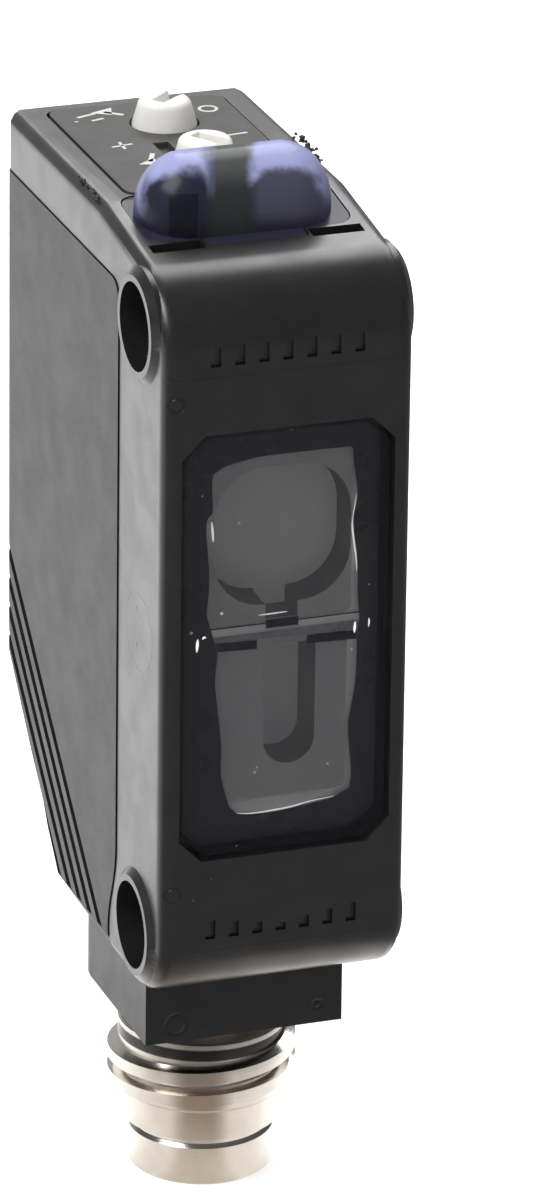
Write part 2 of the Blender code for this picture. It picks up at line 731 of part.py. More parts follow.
def top_board_z():
    return TOP_Z - TOP_BOARD_UNDER_ROOF


def boards(material):
    half = inner_half()
    middle = at_z(WINDOW_Z)
    tall = WINDOW_H / 2 + OPTICS_BOARD_OVER
    face = box_outline((-half, middle - tall), (half, middle + tall))
    front = optics_board_y()
    prism("optics_board", face, "Y", front, front + BOARD_T, material)
    y_at, z_at, _ = slope_inside(WALL + 4 * FIT)
    low, high = at_z(MAIN_BOARD_LOW), top_board_z() - 2 * FIT
    front += BOARD_T + MAIN_BOARD_BEHIND
    back = at_y(CASE_D - MAIN_BOARD_FROM_BACK)
    side = [(front, low), (y_at(low), low), (back, z_at(back)), (back, high), (front, high)]
    prism("main_board", side, "X", -BOARD_T / 2, BOARD_T / 2, material)
    flat = box_outline((-half, at_y(boss_back()) + 2 * FIT), (half, back))
    prism("top_board", flat, "Z", top_board_z(), top_board_z() + BOARD_T, material)


def light_parts(emitter, receiver):
    board = optics_board_y() - FIT
    middle_z = emitter_slot()[0]
    outline = rounded_rectangle(EMITTER_LED_W, EMITTER_LED_W, PART_R, 2)
    lamp = prism("emitter_led", outline, "Y", -EMITTER_LED_T, 0.0, emitter,
                 (EMITTER_SLOT_X, board, middle_z))
    half_round = [(0, 0)] + arc((0, 0), EMITTER_BULB_D / 2, 0, 90, 4)
    bulb = turned("emitter_bulb", half_round, (0, 0, 0), None, 24)
    bulb.rotation_euler = (math.pi / 2, 0, 0)
    bulb.location = (EMITTER_SLOT_X, board - EMITTER_LED_T + FIT, middle_z)
    combine(lamp, bulb, "UNION")
    outline = rounded_rectangle(PHOTODIODE_W, PHOTODIODE_W, PART_R, 2)
    prism("receiver_photodiode", outline, "Y", -PHOTODIODE_T, 0.0, receiver,
          (RECEIVER_X, board, receiver_pupil()[0]))


def switch_base_z():
    return top_board_z() + BOARD_T + FIT


def lamp_top():
    return roof_z(DOME_FRONT) + INDICATOR_REACH


def indicators(lamp_green, lamp_orange, black):
    """Two lamps on tall feet that reach into the dome, and the wall between them."""
    base = switch_base_z()
    y = at_y(boss_back()) + INDICATOR_W / 2 + 2 * FIT
    top = lamp_top()
    for name, sign, paint_of in (("stability_lamp", -1, lamp_green), ("output_lamp", 1, lamp_orange)):
        outline = rounded_rectangle(INDICATOR_W, INDICATOR_W, INDICATOR_R, 2)
        prism(name, outline, "Z", base, top, paint_of, (sign * INDICATOR_X, y, 0))
    outline = rounded_rectangle(BARRIER_W, INDICATOR_W, INDICATOR_R, 2)
    prism("light_barrier", outline, "Z", base, top, black, (0, y, 0))


# Indicator window
def dome_mesh(base):
    """A loaf with ball-shaped ends, from a base height under the roof up."""
    levels = 9
    radius = DOME_D / 2
    reach = DOME_W / 2 - radius
    turns = [math.radians(86.0 * level / (levels - 1)) for level in range(levels)]
    steps = [(0.0, base)]
    steps += [(radius * (1 - math.cos(turn)), TOP_Z + DOME_H * math.sin(turn)) for turn in turns]
    rings = []
    made = bmesh.new()
    for shrink, height in steps:
        outline = arc((reach, 0), radius - shrink, -90, 90, ARC_STEPS)
        outline += arc((-reach, 0), radius - shrink, 90, 270, ARC_STEPS)
        rings.append([made.verts.new((u, v, height)) for u, v in outline])
    for lower, upper in zip(rings, rings[1:]):
        for index in range(len(lower)):
            after = (index + 1) % len(lower)
            made.faces.new((lower[index], lower[after], upper[after], upper[index]))
    made.faces.new(rings[0][::-1])
    made.faces.new(rings[-1])
    return made


def flange_outline(inset):
    """The flange from above: rounded corners, and a tongue in front; inset by a gap."""
    front, back = at_y(FLANGE_FRONT) + inset, at_y(FLANGE_BACK) - inset
    half = FLANGE_W / 2 - inset
    nose = front - TONGUE_REACH
    tongue = TONGUE_W / 2 - inset
    outline = [(-tongue, front), (-tongue, nose), (tongue, nose), (tongue, front)]
    outline += arc((half - FLANGE_R, front + FLANGE_R), FLANGE_R, -90, 0, 4)
    outline += arc((half - FLANGE_R, back - FLANGE_R), FLANGE_R, 0, 90, 4)
    outline += arc((FLANGE_R - half, back - FLANGE_R), FLANGE_R, 90, 180, 4)
    outline += arc((FLANGE_R - half, front + FLANGE_R), FLANGE_R, 180, 270, 4)
    return outline


def indicator_window(material):
    front, back = FLANGE_FRONT - TONGUE_REACH - WALL, FLANGE_BACK + WALL
    side = [(at_y(front), flange_floor(front) + FIT), (at_y(front), roof_z(front) - FIT),
            (at_y(ROOF_FLAT_FROM), roof_z(ROOF_FLAT_FROM) - FIT), (at_y(back), roof_z(back) - FIT),
            (at_y(back), flange_floor(back) + FIT),
            (at_y(ROOF_FLAT_FROM), flange_floor(ROOF_FLAT_FROM) + FIT)]
    window = prism("indicator_window", side, "X", -CASE_W / 2, CASE_W / 2, material)
    combine(window, prism("flange_plan", flange_outline(FIT), "Z", UNDER_Z, TOP_Z + WALL), "INTERSECT")
    middle = at_y(DOME_FRONT + DOME_D / 2)
    base = roof_z(DOME_FRONT) - FLANGE_T / 2
    dome = finish("dome", dome_mesh(base), (DOME_X, middle, 0), smooth=60.0)
    sunk = FLANGE_T / 4
    below = [(at_y(0.0), flange_floor(0.0) + sunk),
             (at_y(ROOF_FLAT_FROM), flange_floor(ROOF_FLAT_FROM) + sunk),
             (at_y(CASE_D), flange_floor(CASE_D) + sunk), (at_y(CASE_D), UNDER_Z), (at_y(0.0), UNDER_Z)]
    combine(dome, prism("below_flange", below, "X", -CASE_W, CASE_W), "DIFFERENCE")
    combine(window, dome, "UNION")
    half = INDICATOR_X + INDICATOR_W / 2 + 2 * FIT
    hollow = box_outline((-half, at_y(boss_back())), (half, at_y(boss_back()) + INDICATOR_W + 4 * FIT))
    pocket = prism("lamp_pocket", hollow, "Z", UNDER_Z, lamp_top() + 2 * FIT)
    combine(window, pocket, "DIFFERENCE")
    return window


# Adjusters
def adjuster_places():
    """Name, X, depth and arrow direction of both adjusters."""
    middle = (FLANGE_BACK + PANEL_BACK) / 2
    apart = (PANEL_BACK - FLANGE_BACK) * KNOB_SPACING_SHARE / 2
    return (
        ("mode", KNOBS_X, middle + apart, MODE_ARROW_AT),
        ("sensitivity", KNOBS_X, middle - apart, SENSITIVITY_ARROW_AT),
    )


def panel_top():
    return TOP_Z + PANEL_RAISED


def adjuster_panel(material):
    front = FLANGE_BACK
    depth = PANEL_BACK - front
    outline = rounded_rectangle(PANEL_W, depth, PANEL_R, 4, (0.0, at_y(front + depth / 2)))
    panel = prism("adjuster_panel", outline, "Z", panel_top() - PANEL_T, panel_top(), material)
    for name, x, depth, _ in adjuster_places():
        radius = KNOB_D / 2 + KNOB_GAP
        hole = [(0, -PANEL_T * 2), (radius, -PANEL_T * 2), (radius, PANEL_T), (0, PANEL_T)]
        combine(panel, turned(f"{name}_hole", hole, (x, at_y(depth), panel_top())), "DIFFERENCE")
    _, x, depth, _ = adjuster_places()[1]
    left, right = x + STOP_NOTCH_X - STOP_NOTCH_W / 2, x + STOP_NOTCH_X + STOP_NOTCH_W / 2
    notch = box_outline((left, at_y(depth)), (right, at_y(depth + STOP_NOTCH_D)))
    low = panel_top() - STOP_NOTCH_DEEP
    combine(panel, prism("stop_notch", notch, "Z", low, TOP_Z + WALL), "DIFFERENCE")
    return panel


def knob(name, x, depth, arrow_at, material):
    """Turning adjuster: stem, cap with a rounded top, and an arrow-shaped driver slot."""
    radius, top = KNOB_D / 2, KNOB_TOP_D / 2
    stem = panel_top() - switch_base_z() - SWITCH_H - FIT
    profile = [(0, -stem), (STEM_D / 2, -stem), (STEM_D / 2, -KNOB_SUNK), (radius, -KNOB_SUNK),
               (radius, 0.0)]
    profile += arc((top - KNOB_TOP_R, KNOB_H - KNOB_TOP_R), KNOB_TOP_R, 0, 90, 4)
    profile.append((0, KNOB_H))
    made = turned(f"{name}_knob", profile, (x, at_y(depth), panel_top()), material)
    half, wide = ARROW_W / 2, ARROW_HEAD_W / 2
    slot = [(-ARROW_TAIL, -half), (half, -half), (KNOB_D, -wide), (KNOB_D, wide), (half, half),
            (-ARROW_TAIL, half)]
    turn = [(u * math.cos(arrow_at) - v * math.sin(arrow_at),
             u * math.sin(arrow_at) + v * math.cos(arrow_at)) for u, v in slot]
    arrow = prism(f"{name}_arrow", turn, "Z", KNOB_H - ARROW_DEPTH, KNOB_H + WALL,
                  location=made.location)
    combine(made, arrow, "DIFFERENCE")
    return made


def adjusters(white, black, rubber):
    for name, x, depth, arrow_at in adjuster_places():
        knob(name, x, depth, arrow_at, white)
        outline = rounded_rectangle(SWITCH_W, SWITCH_W, PART_R, 2)
        base = switch_base_z()
        prism(f"{name}_base", outline, "Z", 0, SWITCH_H, black, (x, at_y(depth), base))
        ring = STEM_D / 2 + FIT + SEAL_T / 2
        profile = arc((ring, 0), SEAL_T / 2, 0, 315, 7)
        seal_z = base + SWITCH_H + SEAL_T / 2 + FIT
        turned(f"{name}_seal", profile, (x, at_y(depth), seal_z), rubber, 24, closed=True)


# Plug
def plug_shell(material):
    bore = PLUG_BORE_D / 2
    nose, groove = PLUG_NOSE_D / 2, PLUG_GROOVE_D / 2
    barrel, core, neck = PLUG_BARREL_D / 2, PLUG_CORE_D / 2, PLUG_NECK_D / 2
    groove_low = PLUG_GROOVE_TOP - PLUG_GROOVE_H
    step = PLUG_GROOVE_H / 3
    core_top = PLUG_LENGTH - PLUG_NECK_H
    profile = [
        (bore + PLUG_CHAMFER, 0.0), (nose - PLUG_CHAMFER, 0.0), (nose, PLUG_CHAMFER),
        (nose, groove_low), (groove, groove_low + step), (groove, PLUG_GROOVE_TOP - step),
        (barrel, PLUG_GROOVE_TOP), (barrel, PLUG_BARREL_TOP), (core, PLUG_BARREL_TOP + step),
        (core, core_top - PLUG_CHAMFER), (core - PLUG_CHAMFER, core_top), (neck, core_top),
        (neck, PLUG_LENGTH + PLUG_SEAT), (bore, PLUG_LENGTH + PLUG_SEAT), (bore, PLUG_CHAMFER)
    ]
    shell = turned("plug_shell", profile, (0, PLUG_Y, 0), material, closed=True)
    combine(shell, thread_ridge(), "UNION")
    return shell


def thread_ridge():
    """One right-hand ridge wound round the core, thinning out at both ends."""
    made = bmesh.new()
    steps = int(THREAD_TURNS * ROUND)
    fade = ROUND // 6
    inside = PLUG_CORE_D / 2 - THREAD_FOOT
    thin = inside + THREAD_FOOT / 2
    rings = []
    for index in range(steps + 1):
        angle = math.pi / 2 - math.tau * index / ROUND
        height = THREAD_TOP_Z - THREAD_PITCH * index / ROUND
        grow = min(1.0, index / fade, (steps - index) / fade)
        crest = thin + (THREAD_D / 2 - thin) * grow
        section = [(inside, -THREAD_ROOT / 2), (crest, -THREAD_CREST / 2), (crest, THREAD_CREST / 2),
                   (inside, THREAD_ROOT / 2)]
        rings.append([
            made.verts.new((r * math.cos(angle), r * math.sin(angle), height + dz))
            for r, dz in section
        ])
    for first, second in zip(rings, rings[1:]):
        for index in range(4):
            after = (index + 1) % 4
            made.faces.new((first[index], first[after], second[after], second[index]))
    made.faces.new(rings[0][::-1])
    made.faces.new(rings[-1])
    return finish("thread_ridge", made, (0, PLUG_Y, 0))


def pin_places():
    places = []
    for turn in (45, 135, 225, 315):
        angle = math.radians(turn)
        places.append((PIN_CIRCLE_D / 2 * math.cos(angle), PIN_CIRCLE_D / 2 * math.sin(angle)))
    return places


def plug_insert(material):
    radius = PLUG_BORE_D / 2 - FIT
    top = UNDER_Z + FLOOR
    profile = [(0, INSERT_FACE), (radius, INSERT_FACE), (radius, top), (0, top)]
    insert = turned("plug_insert", profile, (0, PLUG_Y, 0), material)
    for index, (x, y) in enumerate(pin_places()):
        hole = PIN_D / 2 + FIT
        drill = [(0, 0), (hole, 0), (hole, top + WALL), (0, top + WALL)]
        combine(insert, turned(f"pin_hole_{index}", drill, (x, PLUG_Y + y, 0), None, 24), "DIFFERENCE")
    return insert


def pins(material):
    radius = PIN_D / 2
    top = UNDER_Z + FLOOR + PIN_TAIL
    for index, (x, y) in enumerate(pin_places()):
        profile = [(0, PIN_SUNK), (radius * 0.55, PIN_SUNK), (radius, PIN_SUNK + radius), (radius, top),
                   (0, top)]
        turned(f"contact_pin_{index + 1}", profile, (x, PLUG_Y + y, 0), material, 24)


def build():
    clear_scene()
    black = paint("black_plastic", (0.018, 0.018, 0.02), 0.45)
    case_black = paint("case_plastic", (0.03, 0.03, 0.032), 0.55)
    glass = paint("window_plastic", (0.01, 0.012, 0.018), 0.08)
    film = paint("filter_film", (0.1, 0.1, 0.105), 0.3)
    clear = paint("lens_plastic", (0.3, 0.3, 0.32), 0.05)
    violet = paint("indicator_plastic", (0.16, 0.17, 0.4), 0.08)
    grey = paint("panel_plastic", (0.12, 0.12, 0.12), 0.5)
    white = paint("adjuster_plastic", (0.8, 0.79, 0.76), 0.4)
    rubber = paint("seal_rubber", (0.02, 0.02, 0.02), 0.8)
    board = paint("circuit_board", (0.02, 0.12, 0.05), 0.5)
    green = paint("green_lamp", (0.1, 0.5, 0.2), 0.2)
    orange = paint("orange_lamp", (0.7, 0.3, 0.05), 0.2)
    nickel = paint("nickel", (0.72, 0.69, 0.64), 0.18, 1.0)
    gold = paint("gold", (0.85, 0.62, 0.25), 0.2, 1.0)

    front_case(case_black)
    back_case(case_black)
    lens_window(glass)
    filters(film)
    optics_holder(black)
    lenses(clear)
    boards(board)
    light_parts(orange, black)
    indicators(green, orange, black)
    indicator_window(violet)
    adjuster_panel(grey)
    adjusters(white, black, rubber)
    plug_shell(nickel)
    plug_insert(black)
    pins(gold)


build()
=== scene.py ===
# %% [markdown]
# A slim photoelectric sensor
#
# The sensor looks out through a dark window in its front face and is set with two white
# adjusters on top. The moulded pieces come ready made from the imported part, at their real
# size and place. This lesson gives them their finish, makes the fine pieces that a solid
# model leaves out, and sets up a plain studio round them.

# %% Load the part
import math
import random

import bmesh
import bpy
from mathutils import Matrix, Vector


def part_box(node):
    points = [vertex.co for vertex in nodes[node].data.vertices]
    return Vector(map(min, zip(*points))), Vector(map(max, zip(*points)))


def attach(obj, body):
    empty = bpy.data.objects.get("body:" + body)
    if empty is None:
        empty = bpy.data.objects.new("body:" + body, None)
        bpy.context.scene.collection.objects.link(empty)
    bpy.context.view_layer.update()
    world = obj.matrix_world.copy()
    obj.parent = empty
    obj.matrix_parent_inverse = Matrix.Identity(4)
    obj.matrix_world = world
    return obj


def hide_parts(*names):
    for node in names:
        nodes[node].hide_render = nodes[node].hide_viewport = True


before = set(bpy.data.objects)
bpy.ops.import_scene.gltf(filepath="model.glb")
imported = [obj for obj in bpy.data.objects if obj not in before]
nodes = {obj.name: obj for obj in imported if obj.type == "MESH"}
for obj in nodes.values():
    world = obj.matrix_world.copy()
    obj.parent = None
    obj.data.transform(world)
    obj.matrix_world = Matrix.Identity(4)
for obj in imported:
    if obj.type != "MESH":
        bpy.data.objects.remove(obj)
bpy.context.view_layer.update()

MM = 0.001
print("part loaded:", len(nodes), "nodes")

# %% [markdown]
# Where things are
#
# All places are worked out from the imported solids, so that a change of the part carries the
# looks along. Front means the side of the window, which faces -Y. The case is measured from
# its front face and from its underside, as a maker's drawing would do it.

# %% Measure the case
case_low, case_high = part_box("back_case")
shell_low, shell_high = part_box("front_case")
window_low, window_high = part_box("lens_window")
panel_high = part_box("adjuster_panel")[1]

FRONT_Y = shell_low.y
UNDER_Z = shell_low.z
ROOF_Z = shell_high.z
FRONT = FRONT_Y / MM
UNDER = UNDER_Z / MM
print("front, underside, roof in mm:", [round(v / MM, 2) for v in (FRONT_Y, UNDER_Z, ROOF_Z)])


def place(x, depth, height):
    """A point from millimetres: across, behind the front face, above the underside."""
    return Vector((x * MM, FRONT_Y + depth * MM, UNDER_Z + height * MM))


# %% [markdown]
# The camera
#
# The camera stands to the left of the front and looks down on the sensor, from about a third
# of a metre, through a long lens. A long lens keeps the upright edges nearly parallel, as in
# a catalogue picture. Its place comes from fitting known sizes of such a sensor, the width
# and the spacing of its two cross holes, to where they lie in the picture.

# %% Set up the camera
AZIMUTH = math.radians(19.277)
ELEVATION = math.radians(21.923)
ROLL = math.radians(0.606)
DISTANCE = 337.9 * MM
AIM = place(0.0, 8.0, 15.3)
SENSOR = 36.0
FOCAL = 253.26
SHIFT = (0.03906, -0.02513)


def make_camera():
    """A camera that looks at AIM from its fitted place."""
    back = Vector((
        -math.sin(AZIMUTH) * math.cos(ELEVATION),
        -math.cos(AZIMUTH) * math.cos(ELEVATION),
        math.sin(ELEVATION),
    ))
    right = (-back).cross(Vector((0, 0, 1))).normalized()
    up = right.cross(-back)
    level_right = right * math.cos(ROLL) + up * math.sin(ROLL)
    level_up = up * math.cos(ROLL) - right * math.sin(ROLL)
    data = bpy.data.cameras.new("camera")
    data.lens = FOCAL
    data.sensor_width = SENSOR
    data.shift_x, data.shift_y = SHIFT
    data.clip_start = 10 * MM
    camera = bpy.data.objects.new("camera", data)
    turn = Matrix((level_right, level_up, back)).transposed().to_4x4()
    turn.translation = AIM + back * DISTANCE
    camera.matrix_world = turn
    bpy.context.collection.objects.link(camera)
    return camera


bpy.context.scene.camera = make_camera()
bpy.context.scene.view_settings.view_transform = "Standard"
print("camera at", [round(v / MM) for v in bpy.context.scene.camera.matrix_world.translation], "mm")

# %% [markdown]
# A short way to write materials
#
# A material is a net of small nodes. Written out node by node it is long and hard to read,
# so two helpers come first. `Wire` wraps the output of a node: plus, minus, times and the
# rest on a wire add the node that does the sum. `Finish` is one material, and its `node`
# method adds any other node, first its settings and then its sockets.

# %% The wire helper
class Wire:
    """An output socket whose arithmetic adds nodes to its material."""

    def __init__(self, finish, socket):
        self.finish = finish
        self.socket = socket

    def sum(self, operation, *others):
        """A Math node for numbers, a Vector Math node for vectors."""
        terms = [self if other is None else other for other in others]
        vector = any(isinstance(t, Wire) and t.socket.type == "VECTOR" for t in terms)
        kind = "ShaderNodeVectorMath" if vector else "ShaderNodeMath"
        sockets = {}
        for index, term in enumerate(terms):
            if vector and isinstance(term, (int, float)):
                term = (term, term, term)
            sockets[index] = term
        return self.finish.node(kind, {"operation": operation}, sockets)

    def __add__(self, other):
        return self.sum("ADD", None, other)

    def __radd__(self, other):
        return self.sum("ADD", other, None)

    def __sub__(self, other):
        return self.sum("SUBTRACT", None, other)

    def __rsub__(self, other):
        return self.sum("SUBTRACT", other, None)

    def __mul__(self, other):
        return self.sum("MULTIPLY", None, other)

    def __rmul__(self, other):
        return self.sum("MULTIPLY", other, None)

    def __truediv__(self, other):
        return self.sum("DIVIDE", None, other)

    def __pow__(self, other):
        return self.sum("POWER", None, other)

    def __gt__(self, other):
        return self.sum("GREATER_THAN", None, other)

    def __lt__(self, other):
        return self.sum("LESS_THAN", None, other)

    def __abs__(self):
        return self.sum("ABSOLUTE", None)

    def max(self, other):
        return self.sum("MAXIMUM", None, other)

    def min(self, other):
        return self.sum("MINIMUM", None, other)

    def part(self, axis):
        """One coordinate of a vector."""
        return self.finish.node("ShaderNodeSeparateXYZ", {}, {0: self}, axis)

    def ramp(self, low, high, to_low=0.0, to_high=1.0):
        """Spread the stretch from low to high smoothly over another."""
        settings = {"interpolation_type": "SMOOTHSTEP"}
        sockets = {0: self, 1: low, 2: high, 3: to_low, 4: to_high}
        return self.finish.node("ShaderNodeMapRange", settings, sockets)


# %% The finish helper
class Finish:
    """One material with a Principled shader."""

    def __init__(self, name, **constants):
        self.material = bpy.data.materials.new(name)
        self.material.use_nodes = True
        self.tree = self.material.node_tree
        self.shader = self.tree.nodes["Principled BSDF"]
        for socket, value in constants.items():
            self.set(socket.replace("_", " ").title().replace("Ior", "IOR"), value)

    def plug(self, socket, value):
        """Link a wire to a socket, or set the socket to a plain value."""
        if isinstance(value, Wire):
            self.tree.links.new(value.socket, socket)
        elif socket.type == "RGBA" and len(value) == 3:
            socket.default_value = (*value, 1.0)
        else:
            socket.default_value = value

    def set(self, socket, value):
        self.plug(self.shader.inputs[socket], value)

    def node(self, kind, settings=None, sockets=None, out=0):
        """Add a node: settings first, then sockets by name or number."""
        made = self.tree.nodes.new(kind)
        for name, value in (settings or {}).items():
            setattr(made, name, value)
        for name, value in (sockets or {}).items():
            self.plug(made.inputs[name], value)
        return Wire(self, made.outputs[out])

    def spot(self):
        """The place on the part in millimetres, the same at every pose."""
        return self.node("ShaderNodeTexCoord", {}, {}, "Object") * (1 / MM)

    def noise(self, spot, scale, detail=3.0, rough=0.5):
        sockets = {"Vector": spot, "Scale": scale, "Detail": detail, "Roughness": rough}
        return self.node("ShaderNodeTexNoise", {}, sockets, "Fac")

    def cells(self, spot, scale, out="Distance"):
        return self.node("ShaderNodeTexVoronoi", {}, {"Vector": spot, "Scale": scale}, out)

    def stretch(self, spot, amounts):
        """Scale a place differently along each axis, for drawn-out marks."""
        return self.node("ShaderNodeVectorMath", {"operation": "MULTIPLY"}, {0: spot, 1: amounts})

    def mix(self, share, first, second):
        """Blend two colours by a share from 0 to 1."""
        return self.node("ShaderNodeMix", {"data_type": "RGBA"}, {0: share, 6: first, 7: second}, 2)

    def bump(self, height, depth_mm, under=None):
        """Turn a height from 0 to 1 into relief of a real depth."""
        sockets = {"Height": height, "Distance": depth_mm * MM, "Strength": 1.0}
        if under is not None:
            sockets["Normal"] = under
        return self.node("ShaderNodeBump", {}, sockets)

    def specks(self, spot, scale, radius, share):
        """Sparse round specks: 1 on a speck, 0 between them."""
        near = self.cells(spot, scale) < radius
        chance = self.cells(spot, scale, "Color").part(0) < share
        return near * chance


print("helpers ready")

# %% [markdown]
# Black moulded plastic
#
# The two shells are injection moulded from black, glass-filled plastic. The tool's surface is
# spark eroded, so the plastic has a fine grain. It is nearly black when seen straight on and
# turns light grey where it is seen along its surface, because gloss grows at shallow angles.
# That comes by itself from the shader. What the nodes add is the grain, a blotchy gloss from
# the melt's flow, a thin film of dust and a few scuffs.

# %% Make the case finishes
BLACK = (0.0125, 0.0125, 0.013)
WORN_BLACK = (0.017, 0.0168, 0.0165)
DUST = (0.16, 0.155, 0.145)


def moulded_black(name, gloss, grain_mm, streaks, shine=0.6, dark=BLACK, light=WORN_BLACK):
    """Grained black plastic; returns the finish and its relief, for marks to be added."""
    made = Finish(name, specular_ior_level=shine)
    spot = made.spot()
    cloud = made.noise(spot, 0.9, 5.0, 0.65)
    flow = made.noise(made.stretch(spot, streaks), 1.0, 5.0, 0.6)
    grain = made.noise(spot, 11.0, 2.0, 0.6)
    specks = made.specks(spot, 1.3, 0.05, 0.1)
    shade = made.mix(cloud.ramp(0.3, 0.75), dark, light)
    made.shade = made.mix(specks * 0.7, shade, DUST)
    made.gloss = flow.ramp(0.3, 0.7, gloss - 0.025, gloss + 0.025) + grain.ramp(0.3, 0.7, -0.02, 0.02)
    made.relief = made.bump(grain, grain_mm)
    return made


def ring_mark(across, up, centre, radius, width=0.05):
    """1 along a circle on a side of the case, else 0: the trace of a mould pin."""
    far = ((across - centre[0]) ** 2.0 + (up - centre[1]) ** 2.0) ** 0.5
    return abs(far - radius).ramp(width * 0.4, width, 1.0, 0.0)


def close_finish(made, marks=None, depth_mm=0.03):
    """Link colour, gloss and relief; marks are sunk lines and pockets of the mould, darkened with
    painted shade.
    """
    if marks is not None:
        # Painted shade: the marks are darkened toward black.
        made.shade = made.mix(marks * 0.55, made.shade, (0.003, 0.003, 0.003))
        made.relief = made.bump(marks * -1.0, depth_mm, made.relief)
    made.set("Base Color", made.shade)
    made.set("Roughness", made.gloss)
    made.set("Normal", made.relief)
    return made.material


PIN_HEIGHTS = (16.22, 14.67)
SCREW_PIN_HEIGHTS = (25.76, 5.06)
STEP_HEIGHT = 26.75
UPPER_TICKS = (26.9, 27.4)
LOWER_TICKS = (2.4, 4.7)
HALF_TICK_ROW = 3.9
HALF_TAIL = 4.05


def between(wire, low, high):
    """1 from low to high, else 0."""
    return (wire > low) * (wire < high)


def shell_marks_and_shade(made):
    """Pin and gate traces on the left strip and on the front, painted shade in the tick pockets, and the
    step line, in mm.
    """
    spot = made.spot()
    across, depth, up = (spot.part(axis) for axis in (0, 1, 2))
    on_left = across < -5.0
    on_front = depth < FRONT + 0.3
    gate = ring_mark(depth, up, (FRONT + 2.8, UNDER + 15.3), 1.6)
    marks = gate * on_left * 0.6
    for height in PIN_HEIGHTS:
        pin = ring_mark(depth, up, (FRONT + 3.0, UNDER + height), 0.0, 0.17)
        marks = marks.max(pin * on_left)
    for height in SCREW_PIN_HEIGHTS:
        pin = ring_mark(across, up, (-4.62, UNDER + height), 0.3, 0.08)
        marks = marks.max(pin * on_front)
    rows = between(up, *(UNDER + height for height in UPPER_TICKS))
    rows = rows + between(up, *(UNDER + height for height in LOWER_TICKS))
    # Painted shade inside the tick pockets, where the case lies behind the front face.
    inside = between(depth, FRONT + 0.04, FRONT + 1.0) * (abs(across) < HALF_TICK_ROW)
    marks = marks.max(inside * rows)
    step = abs(up - (UNDER + STEP_HEIGHT)).ramp(0.02, 0.06, 1.0, 0.0)
    return marks.max(step * on_front * 0.45)


def tail_marks_and_shade(made):
    """Two round pin traces low on the tail's front, which close_finish darkens as painted shade."""
    spot = made.spot()
    across, depth, up = (spot.part(axis) for axis in (0, 1, 2))
    foot = case_low.z / MM
    forward = depth < FRONT + 12.0
    left = ring_mark(across, up, (1.15 - HALF_TAIL, foot + 0.75), 0.43, 0.1)
    right = ring_mark(across, up, (HALF_TAIL - 0.9, foot + 0.8), 0.18, 0.1)
    return left.max(right) * forward * 0.6


shell = moulded_black("shell_plastic", 0.34, 0.004, (0.9, 0.5, 0.25), 0.6)
shell.set("Coat Weight", shell.noise(shell.spot(), 0.7, 4.0).ramp(0.3, 0.7, 0.5, 0.75))
shell.set("Coat Roughness", 0.25)
shell_plastic = close_finish(shell, shell_marks_and_shade(shell))
panel = moulded_black("panel_plastic", 0.42, 0.005, (0.5, 0.6, 0.6), 0.6)
panel_plastic = close_finish(panel, tail_marks_and_shade(panel))
print("case finishes:", shell_plastic.name, panel_plastic.name)

# %% [markdown]
# Dressing a piece
#
# A piece that comes from the part keeps its shape. Only its material changes, by filling its
# material slots. A new piece gets a mesh, a material and the body that carries it.

# %% Helpers for pieces
def dress(node, material):
    """Give a node from the part a finish in place of its plain colour."""
    mesh = nodes[node].data
    mesh.materials.clear()
    mesh.materials.append(material)


def new_piece(name, sculpt, material, body="sensor", smooth=35.0):
    """Turn a bmesh into a piece that rides on a body of the part."""
    bmesh.ops.recalc_face_normals(sculpt, faces=sculpt.faces)
    mesh = bpy.data.meshes.new(name)
    sculpt.to_mesh(mesh)
    sculpt.free()
    mesh.shade_smooth()
    mesh.set_sharp_from_angle(angle=math.radians(smooth))
    mesh.materials.append(material)
    made = bpy.data.objects.new(name, mesh)
    bpy.context.collection.objects.link(made)
    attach(made, body)
    return made


def slab(outline, low, high, axis="Y"):
    """Extrude a closed outline; (u, v) are the two other axes in order."""
    order = {"X": (2, 0, 1), "Y": (0, 2, 1), "Z": (0, 1, 2)}[axis]
    made = bmesh.new()
    ring = []
    for u, v in outline:
        point = (u, v, low)
        ring.append(made.verts.new([point[index] for index in order]))
    face = made.faces.new(ring)
    lifted = bmesh.ops.extrude_face_region(made, geom=[face])
    push = Vector((0.0, 0.0, 0.0))
    push["XYZ".index(axis)] = high - low
    moved = [item for item in lifted["geom"] if isinstance(item, bmesh.types.BMVert)]
    bmesh.ops.translate(made, verts=moved, vec=push)
    return made


def smooth_line(points, steps=8, closed=False):
    """A smooth curve that passes through every given point."""
    count = len(points)
    spans = count if closed else count - 1
    line = []
    for index in range(spans):
        if closed:
            a, b, c, d = (Vector(points[(index + k) % count]) for k in (-1, 0, 1, 2))
        else:
            a, b, c, d = (Vector(points[min(max(index + k, 0), count - 1)]) for k in (-1, 0, 1, 2))
        for step in range(steps):
            t = step / steps
            line.append(0.5 * (
                2 * b + (c - a) * t + (2 * a - 5 * b + 4 * c - d) * t ** 2
                + (3 * b - a - 3 * c + d) * t ** 3
            ))
    if not closed:
        line.append(Vector(points[-1]))
    return line


def even_normals(mesh, smooth, rounding=None):
    """Shade each corner by the large faces round it, and the roof's rounding by its true arc."""
    limit = math.cos(math.radians(smooth))
    round_corner = {}
    for face in mesh.polygons:
        for vertex in face.vertices:
            round_corner.setdefault(vertex, []).append(face)
    normals = []
    for face in mesh.polygons:
        for vertex in face.vertices:
            total = Vector()
            for other in round_corner[vertex]:
                if other.normal.dot(face.normal) > limit:
                    total += other.normal * other.area
            if rounding is not None:
                y, z, radius = rounding
                spot = mesh.vertices[vertex].co
                away = Vector((0.0, spot.y - y, spot.z - z))
                on_arc = abs(away.length - radius) < 0.02 * MM and spot.z > z and spot.y < y
                if on_arc and away.normalized().dot(face.normal) > 0.97:
                    total = away
            normals.append(total.normalized() if total.length > 0.0 else face.normal)
    mesh.normals_split_custom_set(normals)


